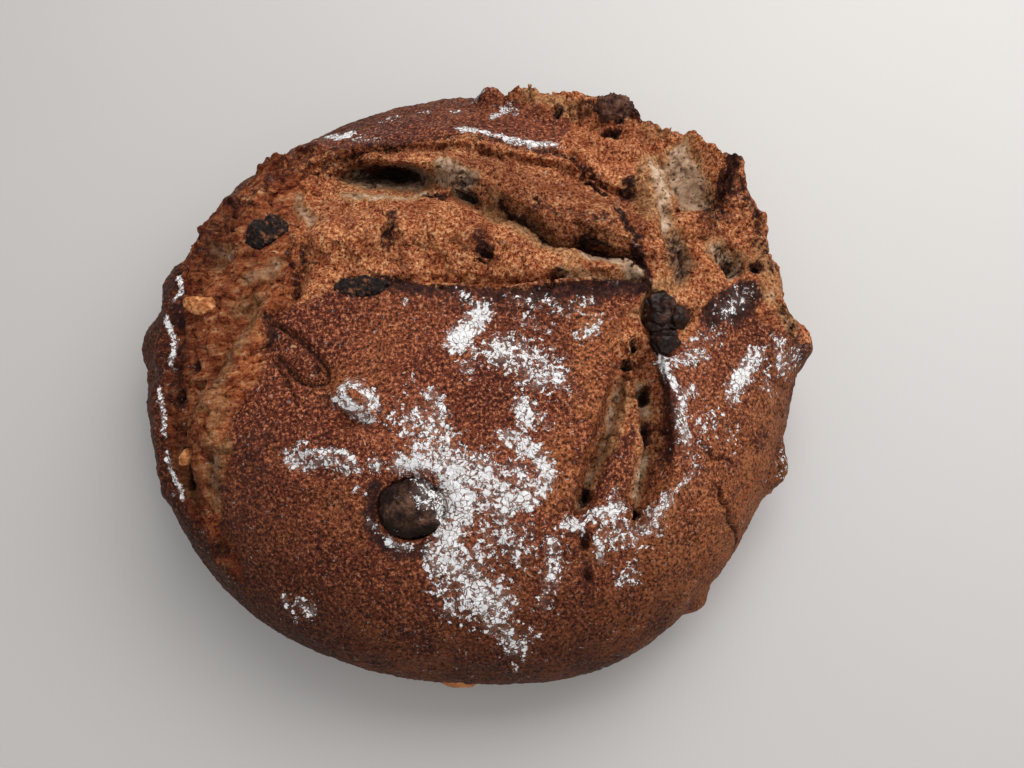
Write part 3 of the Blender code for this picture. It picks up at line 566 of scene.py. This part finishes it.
def sculptLoaf():
    clearSelection()
    bpy.ops.mesh.primitive_ico_sphere_add(subdivisions=loaf["detail"], radius=1)
    piece = bpy.context.object
    piece.name = "crust_and_crumb"
    mesh = piece.data
    directions = readPoints(mesh)
    directions /= np.linalg.norm(directions, axis=1)[:, None]
    points, top, angle = doughBody(directions)
    xy = points[:, :2].copy()
    print("loaf: dough body of", len(points), "points")

    # the broad lumps
    zone = broadTornShare(xy) * top
    craggy = np.clip((xy[:, 0] - 20) / 20, 0, 1) * np.clip((xy[:, 1] - 25) / 30, 0, 1)
    above = (points[:, 2] > 0) * 1.0
    rise = np.zeros(len(points))
    for amount, size in loaf["swells"]:
        rise += amount * sampleWhere(above, noise.noise, points, size)
    for amount, size in loaf["crumbSwells"]:
        rise += zone * amount * sampleWhere(zone, noise.noise, points, size)
    amount, size = loaf["crestSwell"]
    rise += craggy * amount * sampleWhere(craggy * above, noise.noise, points, size)
    rise *= 0.25 + 0.75 * top

    # the burst
    moved = points.copy()
    pale = np.zeros(len(points))
    deep = np.zeros(len(points))
    for fold in loaf["folds"]:
        moved += foldShift(fold, xy) * top[:, None]
    for pit in loaf["pits"]:
        shift, share = pitShift(pit, xy)
        moved += shift * top[:, None]
        # pale colour on a hollow's floor, painted shadow at its bottom
        pale = np.maximum(pale, pit.get("pale", 0) * smooth(0.1, 0.6, share))
        deep = np.maximum(deep, pit.get("deep", 0) * smooth(0.62, 0.90, share))
    for x, y, radius, height in loaf["tips"]:
        moved[:, 2] += top * height * bell(np.hypot(xy[:, 0] - x, xy[:, 1] - y) / radius)
    for at, height, roundReach, upReach, out in loaf["bulges"]:
        turned = (angle - math.radians(at) + math.pi) % math.tau - math.pi
        push = out * bell(np.hypot(turned * 110 / roundReach,
                                   (points[:, 2] - height) / upReach))
        moved[:, 0] += push * np.cos(angle)
        moved[:, 1] += push * np.sin(angle)
    outward = np.column_stack([directions[:, :2], np.clip(directions[:, 2] + 0.4, 0, 2)])
    moved += outward * (rise * above)[:, None]
    here = moved[:, :2].copy()
    for crease in loaf["creases"]:
        moved += foldShift(crease, here) * top[:, None]
    # the pores sink, and painted shadow darkens their bottoms
    for x, y, wide, long, down in loaf["pores"]:
        shift, share = pitShift(dict(at=(x, y), size=(wide, long), depth=down), here)
        moved += shift * top[:, None]
        deep = np.maximum(deep, 0.14 * min(down, 6) * smooth(0.45, 0.9, share))
    print("loaf: burst along", len(loaf["folds"]), "folds and", len(loaf["pits"]), "hollows")

    # crumb where it is torn, skin elsewhere
    upper = np.flatnonzero(top > 0.3)
    wander = np.column_stack([sample(noise.fractal, points[upper] + 70, 5, 0.8, 2.2, 3),
                              sample(noise.fractal, points[upper] - 70, 5, 0.8, 2.2, 3)])
    torn = np.zeros(len(points))
    behind = 1.6 + 2.4 * smooth(92, 100, here[upper, 1])
    torn[upper] = insideShare(here[upper] + wander * behind[:, None], loaf["torn"], 0.5)
    ragged = 0.22 * sampleWhere(above, noise.fractal, points, 14, 0.8, 2.1, 3)
    torn *= smooth(0.42, 0.62, top + ragged)
    writePoints(mesh, moved)
    normals = readNormals(mesh)

    # fine relief along the normals
    lumps = sampleWhere(torn, noise.noise, moved, 4.6)
    crumbs = sampleWhere(torn, noise.fractal, moved, 1.7, 0.7, 2.2, 3)
    crags = sampleWhere(torn * craggy, noise.ridged_multi_fractal, moved, 9, 1.0, 2.1, 3, 1.0, 2.0)
    holes = sampleWhere(torn, cellEdges, moved, 5.5)
    chosen = sampleWhere(torn, noise.noise, moved + 40, 7) > 0.12
    left = torn * smooth(-56, -66, here[:, 0])
    along = moved @ np.array([[0.62, 0.78, 0], [0.78, -0.62, 0.3], [0, 0.3, 1]])
    fibres = sampleWhere(left, noise.fractal, along * (0.22, 1, 1), 1.9, 0.8, 2.2, 2)
    fine = torn * (loaf["lumps"] * lumps + loaf["crumbs"] * crumbs
                   + loaf["crags"] * craggy * (crags - 1.0)
                   - loaf["holes"] * bell(holes / 0.25) * chosen)
    fine += left * loaf["fibres"] * fibres
    skin = (1 - torn) * above
    blisters = sampleWhere(skin, noise.fractal, moved, 1.9, 0.8, 2.1, 2)
    waves = sampleWhere(skin, noise.fractal, moved * (1, 1.5, 1), 8.5, 0.9, 2.1, 2)
    fine += skin * (loaf["blisters"] * blisters + loaf["waves"] * waves * (0.35 + 0.65 * top))
    edge = 4 * torn * (1 - torn)
    ragged = sampleWhere(edge, noise.fractal, moved, 2.0, 0.8, 2.1, 2)
    fine += edge * loaf["raggedEdge"] * ragged
    under = 1 - above
    fine += under * loaf["underside"] * sampleWhere(under, noise.noise, moved, 9)
    moved += normals * fine[:, None]

    masks = {"torn": torn, "pale": pale * torn, "deep": deep,
             "relief": 0.5 + 0.35 * fine * torn}
    here = moved[:, :2]
    for name, strokes in paint.items():
        layer = masks.get(name, np.zeros(len(points)))
        for amount, width, path in strokes:
            layer = np.maximum(layer, amount * strokeShare(here, path, width))
        masks[name] = layer
    facing = smooth(0.0, 0.35, normals[:, 2])
    patchy = 0.97 + 0.45 * sampleWhere(masks["flour"], noise.noise, moved, 5)
    masks["flour"] = masks["flour"] ** 1.55 * patchy * (1 - 0.85 * torn) * facing
    masks["flour"] = np.maximum(masks["flour"], masks.pop("rim")) * above
    masks["pale"] *= torn
    masks["burnt"] *= smooth(0, 0.45, top)
    masks["tan"] *= 1 - torn

    moved = makeSockets(moved)
    moved[:, 2] = np.maximum(moved[:, 2], 0)
    writePoints(mesh, (moved + tablePoint) / 1000)
    for name, values in masks.items():
        writeMask(mesh, name, values)
    slim = piece.modifiers.new("slim", "DECIMATE")
    slim.ratio = loaf["triangles"] / len(mesh.polygons)
    bpy.context.view_layer.objects.active = piece
    bpy.ops.object.modifier_apply(modifier="slim")
    piece.data.shade_smooth()
    print("loaf:", len(piece.data.polygons), "triangles, masks", sorted(masks))
    return piece


# The raisins and nuts, set in sockets in the loaf.

fruit = {
    "raisin_left": dict(skin="charred raisin", wrinkle=1.0, size=3.0, gap=0.0, grit=0.55,
                        grow=(1.06, 1.06, 0.92)),
    "raisin_ledge": dict(skin="charred raisin", wrinkle=0.9, size=2.6, gap=0.0, grit=0.5,
                         grow=(1.25, 1.1, 0.9), shift=(0, -0.4, -0.5)),
    "raisin_right_large": dict(skin="raisin", wrinkle=1.5, size=4.2, gap=1.0, grow=(1.32, 1.2, 1),
                               shift=(0.8, 0.2, -1.4), grit=0.15),
    "raisin_right_small": dict(skin="raisin", wrinkle=1.3, size=3.6, gap=0.7, grow=(1.25, 1.05, 1),
                               shift=(-2.0, 0.3, -1.6), grit=0.15),
    "raisin_right_low": dict(skin="raisin", wrinkle=1.4, size=3.8, gap=0.7, grow=(1.3, 1.35, 1),
                             shift=(-1.6, 1.6, -1.5), grit=0.15),
    "raisin_back": dict(skin="crusted raisin", wrinkle=1.7, size=5.0, gap=0.0, grit=0.8,
                        grow=(1.12, 1.05, 1.0), shift=(0, 0, -0.8)),
    "nut_front": dict(skin="floured nut", wrinkle=1.3, size=5.0, gap=0.0, grit=0.5,
                      shift=(0, 0, -1.6), masks={
                          "flour": [(1.00, 3.4, [(-16, -48), (-10, -51), (-7, -57), (-8, -63)]),
                                    (0.52, 3.8, [(-14, -54), (-13, -60)])],
                          # painted shade: the nut's left and lower side, where its crescent shadow
                          # falls
                          "sideShade": [(1.00, 2.4, [(-29, -48), (-32, -54), (-32, -61), (-28, -67),
                                                (-21, -71), (-12, -70)])]}),
    "nut_left": dict(skin="nut", wrinkle=0.6, size=2.4, gap=0.0, grit=0.3, shift=(0, 0, -0.9)),
    "nut_side": dict(skin="nut", wrinkle=0.3, size=1.5, gap=0.2, shift=(0, 0, -0.4)),
    "almond_front": dict(skin="almond", wrinkle=0.25, size=2.5, gap=1.0, shift=(0, 1.4, 0.5)),
}


def fruitPoints(name):
    # where a fruit's solid is, in millimetres from the middle of the dough
    return readPoints(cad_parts[name].data) * 1000 - tablePoint


def makeSockets(points):
    # the loaf gives way round each fruit: what is inside it sinks to just past its far side
    for name, settings in fruit.items():
        solid = fruitPoints(name)
        centre = (solid.min(0) + solid.max(0)) / 2
        spread = solid - centre
        values, axes = np.linalg.eigh(spread.T @ spread)
        local = spread @ axes
        radii = np.abs(local).max(0) + settings["gap"]
        if name == "almond_front":
            sink = np.array([-centre[0], -centre[1], 0]) / np.hypot(centre[0], centre[1])
        else:
            sink = np.array([0.0, 0.0, -1.0])
        near = np.flatnonzero(np.linalg.norm(points - centre, axis=1) < radii.max() + 12)
        p = (points[near] - centre) @ axes / radii
        d = sink @ axes / radii
        a, b, c = d @ d, p @ d, (p * p).sum(1) - 1
        root = b * b - a * c
        hit = (root > 0)
        travel = np.zeros(len(near))
        travel[hit] = (-b[hit] + np.sqrt(root[hit])) / a
        inside = hit & (travel > 0) & ((-b - np.sqrt(np.clip(root, 0, None))) / a < 1.5)
        points[near[inside]] += sink * travel[inside, None]
    return points


def makeFruit(name, settings):
    clearSelection()
    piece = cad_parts[name].copy()
    piece.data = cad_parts[name].data.copy()
    piece.name = name + "_look"
    for key in list(piece.keys()):
        del piece[key]
    bpy.context.scene.collection.objects.link(piece)
    piece.parent = None
    piece.select_set(True)
    bpy.context.view_layer.objects.active = piece
    bpy.ops.object.mode_set(mode="EDIT")
    bpy.ops.mesh.select_all(action="SELECT")
    bpy.ops.mesh.remove_doubles(threshold=0.00001)
    bpy.ops.object.mode_set(mode="OBJECT")
    rounder = piece.modifiers.new("rounder", "SUBSURF")
    rounder.levels = rounder.render_levels = 3 if len(piece.data.polygons) > 200 else 4
    bpy.ops.object.modifier_apply(modifier="rounder")
    points = readPoints(piece.data) * 1000
    centre = (points.min(0) + points.max(0)) / 2
    points = centre + (points - centre) * settings.get("grow", 1) + settings.get("shift", (0, 0, 0))
    writePoints(piece.data, points)
    normals = readNormals(piece.data)
    shaken = points + 1.8 * np.array([noise.noise_vector(Vector(p)) for p in (points / 6).tolist()])
    folds = np.abs(sample(noise.noise, shaken * (0.45, 1, 0.8), settings["size"]))
    lumps = sample(noise.fractal, shaken, settings["size"] * 1.6, 0.8, 2.0, 3)
    grit = sample(noise.fractal, points, 1.1, 0.7, 2.2, 2) * settings.get("grit", 0)
    depth = settings["wrinkle"] * (2.0 * np.clip(folds, 0, 0.35) - 0.4 + 0.9 * lumps) + grit
    points += normals * np.clip(depth, -1.5, 1.0)[:, None]
    writePoints(piece.data, points / 1000)
    for layer, strokes in settings.get("masks", {}).items():
        xy = points[:, :2] - tablePoint[:2]
        shares = [amount * strokeShare(xy, path, width) for amount, width, path in strokes]
        writeMask(piece.data, layer, np.max(shares, axis=0))
    piece.data.shade_smooth()
    return piece


# Small tools for the materials.

def newMaterial(name):
    made = bpy.data.materials.new(name)
    made.use_nodes = True
    tree = made.node_tree
    return made, tree, tree.nodes["Principled BSDF"]


def wire(tree, value, socket):
    if isinstance(value, bpy.types.Node):
        value = value.outputs[0]
    if isinstance(value, bpy.types.NodeSocket):
        tree.links.new(value, socket)
    elif isinstance(value, tuple) and len(value) == 3 and socket.type == "RGBA":
        socket.default_value = (*value, 1)
    else:
        socket.default_value = value


def put(tree, kind, inputs=(), **settings):
    node = tree.nodes.new("ShaderNode" + kind)
    for key, value in settings.items():
        setattr(node, key, value)
    for key, value in dict(inputs).items():
        wire(tree, value, node.inputs[key])
    return node


def mask(tree, name):
    return put(tree, "Attribute", attribute_name=name).outputs["Fac"]


def place(tree):
    return put(tree, "TexCoord").outputs["Object"]


def grainAt(tree, size, detail=2.0, rough=0.5, at=None, bend=0.0):
    # noise with lumps about size mm wide, between 0 and 1
    return put(tree, "TexNoise", {"Vector": at or place(tree), "Scale": 700 / size,
                                  "Detail": detail, "Roughness": rough,
                                  "Distortion": bend}).outputs["Fac"]


def cellsAt(tree, size, feature="F1", at=None):
    return put(tree, "TexVoronoi", {"Vector": at or place(tree), "Scale": 1000 / size},
               feature=feature).outputs["Distance"]


def between(tree, value, low, high, toLow=0.0, toHigh=1.0):
    return put(tree, "MapRange", {"Value": value, "From Min": low, "From Max": high,
                                  "To Min": toLow, "To Max": toHigh},
               interpolation_type="SMOOTHSTEP").outputs["Result"]


def calc(tree, operation, first, second):
    return put(tree, "Math", {0: first, 1: second}, operation=operation).outputs[0]


def times(tree, first, second):
    return calc(tree, "MULTIPLY", first, second)


def mixed(tree, share, first, second, blend="MIX"):
    node = put(tree, "Mix", data_type="RGBA", blend_type=blend)
    wire(tree, share, node.inputs[0])
    wire(tree, first, node.inputs[6])
    wire(tree, second, node.inputs[7])
    return node.outputs[2]


def darkened(tree, colour, by):
    return mixed(tree, 1.0, colour, by, "MULTIPLY")


def ramp(tree, value, stops):
    node = put(tree, "ValToRGB", {"Fac": value})
    while len(node.color_ramp.elements) < len(stops):
        node.color_ramp.elements.new(0.5)
    for element, (position, colour) in zip(node.color_ramp.elements, stops):
        element.position = position
        element.color = (*colour, 1)
    return node.outputs["Color"]


def warped(tree, size, amount):
    # Object coordinates shaken by amount mm, so that patterns don't look ruled
    shake = put(tree, "TexNoise", {"Vector": place(tree), "Scale": 700 / size, "Detail": 2.0})
    centred = put(tree, "VectorMath", {0: shake.outputs["Color"], 1: (0.5, 0.5, 0.5)},
                  operation="SUBTRACT")
    scaled = put(tree, "VectorMath", {0: centred, "Scale": amount / 500}, operation="SCALE")
    return put(tree, "VectorMath", {0: place(tree), 1: scaled}, operation="ADD").outputs[0]


def flourOver(tree, colour, height, flour):
    # dry flour: specks that close up as it thickens, with thin wandering cracks through it
    specks = grainAt(tree, 1.35, 4.0, 0.68, warped(tree, 3.0, 1.2))
    specks = between(tree, specks, 0.32, 0.68)
    over = calc(tree, "SUBTRACT", specks, calc(tree, "SUBTRACT", 0.98, flour))
    cover = between(tree, over, -0.02, 0.10)
    edges = cellsAt(tree, 2.3, "DISTANCE_TO_EDGE", warped(tree, 2.2, 2.4))
    width = between(tree, grainAt(tree, 5, 2.0), 0.35, 0.65, 0.03, 0.11)
    flakes = between(tree, calc(tree, "DIVIDE", edges, width), 0.35, 1.0)
    cover = times(tree, cover, flakes)
    veil = times(tree, between(tree, flour, 0.12, 0.9),
                between(tree, grainAt(tree, 2.5, 5.0, 0.7), 0.35, 0.65, 0.05, 0.42))
    white = ramp(tree, grainAt(tree, 0.8, 4.0, 0.7), [
        (0.32, (0.58, 0.55, 0.54)), (0.5, (0.87, 0.86, 0.87)), (0.66, (0.97, 0.97, 0.98))])
    colour = mixed(tree, veil, colour, (0.46, 0.39, 0.36))
    colour = mixed(tree, cover, colour, white)
    return colour, calc(tree, "ADD", height, times(tree, cover, 0.0003)), cover


def crustMaterial():
    made, tree, shader = newMaterial("crust and crumb")
    torn, pale, burnt, flour, tan, shade, deep, relief = (
        mask(tree, n) for n in
        ("torn", "pale", "burnt", "flour", "tan", "shade", "deep", "relief"))

    # the skin: mahogany clouds full of fine orange and dark grains
    skin = ramp(tree, grainAt(tree, 26, 6.0, 0.66), [
        (0.32, (0.065, 0.012, 0.008)), (0.48, (0.140, 0.029, 0.013)),
        (0.60, (0.195, 0.047, 0.020)), (0.76, (0.27, 0.080, 0.032))])
    ochre = ramp(tree, grainAt(tree, 7, 6.0, 0.66), [
        (0.32, (0.16, 0.036, 0.012)), (0.5, (0.29, 0.085, 0.026)), (0.7, (0.40, 0.145, 0.052))])
    # darker towards the bottom: the lower walls get darker skin, grains and dots, partly baked
    # darker and partly painted shade on walls turned away from the lamp
    low = between(tree, put(tree, "SeparateXYZ", {0: place(tree)}).outputs["Z"], 0.066, 0.030)
    bakedAndShaded = ramp(tree, grainAt(tree, 6, 6.0, 0.66), [
        (0.32, (0.040, 0.011, 0.004)), (0.5, (0.080, 0.024, 0.009)), (0.7, (0.135, 0.048, 0.018))])
    skin = mixed(tree, times(tree, low, 0.85), skin, bakedAndShaded)
    ochreShare = times(tree, tan, between(tree, grainAt(tree, 9, 5.0), 0.30, 0.56))
    skin = mixed(tree, ochreShare, skin, ochre)
    grains = grainAt(tree, 0.72, 3.0, 0.75)
    skin = mixed(tree, between(tree, grains, 0.49, 0.40, 0.0, 0.92), skin, (0.018, 0.004, 0.003))
    skin = mixed(tree, between(tree, grains, 0.53, 0.63, 0.0, 0.84), skin,
                 mixed(tree, low, (0.60, 0.225, 0.105), (0.26, 0.092, 0.036)))
    dots = between(tree, cellsAt(tree, 3.4, "F1", warped(tree, 6, 5)), 0.13, 0.05, 0.0, 0.8)
    skin = mixed(tree, dots, skin, mixed(tree, low, (0.66, 0.38, 0.22), (0.36, 0.19, 0.10)))

    # the crumb: orange brown fuzz, dark on the peaks, golden and then grey where it is deep
    turned = put(tree, "Mapping", {"Vector": warped(tree, 12, 3), "Rotation": (0, 0, -0.9),
                                   "Scale": (0.25, 1, 0.6)})
    left = between(tree, put(tree, "SeparateXYZ", {0: place(tree)}).outputs["X"], -0.050, -0.062)
    fuzz = grainAt(tree, 0.80, 5.0, 0.80, bend=0.2)
    fibres = grainAt(tree, 1.3, 4.0, 0.7, turned)
    fuzz = put(tree, "Mix", {0: times(tree, left, 0.55), 2: fuzz, 3: fibres},
               data_type="FLOAT").outputs[0]
    crumb = ramp(tree, fuzz, [
        (0.39, (0.06, 0.011, 0.007)), (0.455, (0.40, 0.095, 0.036)),
        (0.53, (0.74, 0.255, 0.090)), (0.61, (1.0, 0.62, 0.33))])
    reds = between(tree, grainAt(tree, 6, 5.0, 0.6), 0.42, 0.60)
    crumb = mixed(tree, times(tree, reds, 0.62), crumb,
                  darkened(tree, crumb, (0.46, 0.27, 0.25)))
    crumb = mixed(tree, between(tree, relief, 0.66, 1.0, 0.0, 0.45), crumb, (0.14, 0.032, 0.018))
    golden = ramp(tree, fuzz, [
        (0.36, (0.15, 0.045, 0.018)), (0.47, (0.45, 0.18, 0.068)), (0.62, (0.86, 0.48, 0.23))])
    grey = ramp(tree, grainAt(tree, 1.8, 5.0, 0.7), [
        (0.32, (0.20, 0.105, 0.062)), (0.5, (0.74, 0.48, 0.31)), (0.68, (1.0, 0.78, 0.57))])
    uneven = calc(tree, "SUBTRACT", grainAt(tree, 3.6, 4.0, 0.6), 0.5)
    uneven = calc(tree, "ADD", pale, times(tree, uneven, 0.9))
    crumb = mixed(tree, times(tree, between(tree, uneven, 0.15, 0.5),
                             between(tree, pale, 0.02, 0.2)), crumb, golden)
    crumb = mixed(tree, times(tree, between(tree, uneven, 0.5, 0.85),
                             between(tree, pale, 0.3, 0.5)), crumb, grey)
    # painted shade: the crumb on the left, away from the lamp, is painted darker
    crumb = mixed(tree, times(tree, left, 0.84), crumb,
                  darkened(tree, crumb, (0.52, 0.46, 0.44)))
    # pinholes all over it, larger where it is pale, painted as dark dots of shade
    pins = between(tree, cellsAt(tree, 2.1, "F1", warped(tree, 3, 2)), 0.24, 0.12, 0.0, 0.8)
    crumb = mixed(tree, pins, crumb, (0.035, 0.011, 0.007))
    pores = between(tree, cellsAt(tree, 3.0, "F1", warped(tree, 4, 4)), 0.34, 0.18)
    pores = times(tree, pores, between(tree, pale, 0.35, 0.7, 0.0, 0.75))
    crumb = mixed(tree, pores, crumb, (0.045, 0.022, 0.014))
    colour = mixed(tree, torn, skin, crumb)

    # char, and painted shade in the holes, cracks and creases, share this near-black ramp
    charred = ramp(tree, grainAt(tree, 1.2, 4.0, 0.7), [
        (0.35, (0.010, 0.004, 0.004)), (0.56, (0.045, 0.013, 0.009)), (0.72, (0.20, 0.06, 0.028))])
    # painted shade where the shade strokes lie, broken up by broad clouds
    clouds = between(tree, grainAt(tree, 16, 6.0, 0.6), 0.25, 0.6, 0.7, 1.0)
    colour = mixed(tree, times(tree, shade, clouds), colour,
                   darkened(tree, colour, (0.42, 0.35, 0.33)))
    uneven = calc(tree, "SUBTRACT", grainAt(tree, 1.5, 5.0, 0.75), 0.5)
    uneven = times(tree, uneven, 2.1)
    burntAndShadowShare = times(tree, between(tree, calc(tree, "ADD", burnt, uneven), 0.22, 0.72),
                      between(tree, burnt, 0.02, 0.25))
    colour = mixed(tree, burntAndShadowShare, colour, charred)
    # painted shadow: nearly black in the deepest holes, gaps and pores
    colour = mixed(tree, times(tree, deep, 0.93), colour, (0.010, 0.005, 0.004))

    skinHeight = calc(tree, "ADD", times(tree, grainAt(tree, 0.85, 4.0, 0.75), 0.0010),
                      times(tree, grainAt(tree, 3.2, 4.0, 0.6), 0.0018))
    crumbHeight = times(tree, fuzz, 0.0018)
    height = put(tree, "Mix", {0: torn}, data_type="FLOAT")
    wire(tree, skinHeight, height.inputs[2])
    wire(tree, crumbHeight, height.inputs[3])
    colour, raised, cover = flourOver(tree, colour, height.outputs[0], flour)
    bump = put(tree, "Bump", {"Strength": 1.0, "Distance": 1.0, "Height": raised})
    wire(tree, colour, shader.inputs["Base Color"])
    wire(tree, bump, shader.inputs["Normal"])
    rough = put(tree, "Mix", {0: torn, 2: 0.55, 3: 0.85}, data_type="FLOAT").outputs[0]
    rough = put(tree, "Mix", {0: cover, 2: rough, 3: 0.95}, data_type="FLOAT").outputs[0]
    wire(tree, rough, shader.inputs["Roughness"])
    shader.inputs["Specular IOR Level"].default_value = 0.12
    return made


def fruitMaterial(name, stops, size, roughness, bumpDepth, painted=False):
    made, tree, shader = newMaterial(name)
    colour = ramp(tree, grainAt(tree, size, 5.0, 0.65), stops)
    height = times(tree, grainAt(tree, 0.9, 4.0, 0.6), bumpDepth)
    if painted:
        # painted shade: nearly black where shade falls on one side of the fruit
        sideShade = calc(tree, "SUBTRACT", grainAt(tree, 2, 4.0, 0.7), 0.5)
        sideShade = calc(tree, "ADD", mask(tree, "sideShade"), sideShade)
        colour = mixed(tree, between(tree, sideShade, 0.1, 0.8, 0.0, 0.95), colour,
                       (0.012, 0.005, 0.003))
        colour, height, cover = flourOver(tree, colour, height, mask(tree, "flour"))
    wire(tree, colour, shader.inputs["Base Color"])
    wire(tree, put(tree, "Bump", {"Strength": 1.0, "Distance": 1.0, "Height": height}),
         shader.inputs["Normal"])
    shader.inputs["Roughness"].default_value = roughness
    shader.inputs["Specular IOR Level"].default_value = 0.16
    return made


# The bread put together.

crust = crustMaterial()
bread = sculptLoaf()
bread.data.materials.clear()
bread.data.materials.append(crust)
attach(bread, "root")
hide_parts("loaf")

skins = {
    "raisin": fruitMaterial("raisin skin", [
        (0.3, (0.004, 0.002, 0.002)), (0.52, (0.014, 0.005, 0.003)), (0.75, (0.075, 0.024, 0.012))],
        3.4, 0.30, 0.00020),
    "charred raisin": fruitMaterial("charred raisin skin", [
        (0.38, (0.005, 0.003, 0.003)), (0.54, (0.016, 0.008, 0.007)), (0.66, (0.20, 0.075, 0.030))],
        1.5, 0.60, 0.0007),
    "crusted raisin": fruitMaterial("crusted raisin skin", [
        (0.35, (0.022, 0.008, 0.005)), (0.52, (0.070, 0.028, 0.018)), (0.7, (0.18, 0.085, 0.050))],
        1.8, 0.7, 0.0008),
    "nut": fruitMaterial("roasted nut", [
        (0.35, (0.17, 0.042, 0.014)), (0.5, (0.40, 0.145, 0.048)), (0.66, (0.76, 0.36, 0.16))],
        1.3, 0.7, 0.0006),
    "almond": fruitMaterial("almond skin", [
        (0.3, (0.20, 0.060, 0.020)), (0.55, (0.36, 0.135, 0.050)), (0.8, (0.50, 0.22, 0.09))],
        2.5, 0.6, 0.00015),
    "floured nut": fruitMaterial("floured nut skin", [
        (0.38, (0.010, 0.004, 0.003)), (0.5, (0.034, 0.014, 0.009)), (0.66, (0.13, 0.065, 0.040))],
        2.4, 0.80, 0.0009, True),
}
for name, settings in fruit.items():
    piece = makeFruit(name, settings)
    piece.data.materials.clear()
    piece.data.materials.append(skins[settings["skin"]])
    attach(piece, "root")
    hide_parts(name)
print("fruit:", len(fruit), "pieces")


# The floor, the light and the camera.

studio = {
    "floorColour": (0.47, 0.455, 0.445), "floorSize": 6.0,
    "skyColour": (0.95, 0.955, 0.97), "skyStrength": 0.51,
    "fillAt": (0.20, -0.75, 0.65), "fillSize": 1.0, "fillPower": 3.6,
    "lampAt": (0.28, 0.42, 0.57), "lampSize": 0.78, "lampPower": 6.6,
    "lampColour": (1.0, 0.985, 0.955), "lampAims": (0.10, 0.42, 0.0),
    "cameraAt": (0.01464, -0.15326, 0.35017), "cameraTilt": 24, "lens": 35,
}

clearSelection()
bpy.ops.mesh.primitive_plane_add(size=studio["floorSize"], location=(0, 0, 0))
floor = bpy.context.object
floor.name = "floor"
paper, tree, shader = newMaterial("pale floor")
wire(tree, mixed(tree, grainAt(tree, 60, 3.0), studio["floorColour"],
                 tuple(v * 0.97 for v in studio["floorColour"])), shader.inputs["Base Color"])
shader.inputs["Roughness"].default_value = 0.6
floor.data.materials.append(paper)

world = bpy.data.worlds.new("soft room")
bpy.context.scene.world = world
world.use_nodes = True
world.node_tree.nodes["Background"].inputs["Color"].default_value = (*studio["skyColour"], 1)
world.node_tree.nodes["Background"].inputs["Strength"].default_value = studio["skyStrength"]


def addLamp(name, at, aims, size, power):
    bpy.ops.object.light_add(type="AREA", location=at)
    lamp = bpy.context.object
    lamp.name = name
    lamp.data.shape = "SQUARE"
    lamp.data.size = size
    lamp.data.energy = power
    lamp.data.color = studio["lampColour"]
    lamp.rotation_euler = (Vector(aims) - lamp.location).to_track_quat("-Z", "Y").to_euler()


addLamp("window_light", studio["lampAt"], studio["lampAims"], studio["lampSize"],
        studio["lampPower"])
addLamp("front_fill", studio["fillAt"], (0, -0.1, 0), studio["fillSize"], studio["fillPower"])

bpy.ops.object.camera_add(location=studio["cameraAt"],
                          rotation=(math.radians(studio["cameraTilt"]), 0, 0))
camera = bpy.context.object
camera.data.lens = studio["lens"]
camera.data.sensor_width = 36
camera.data.clip_start = 0.01
bpy.context.scene.camera = camera
bpy.context.scene.view_settings.view_transform = "Standard"

bpy.context.view_layer.update()
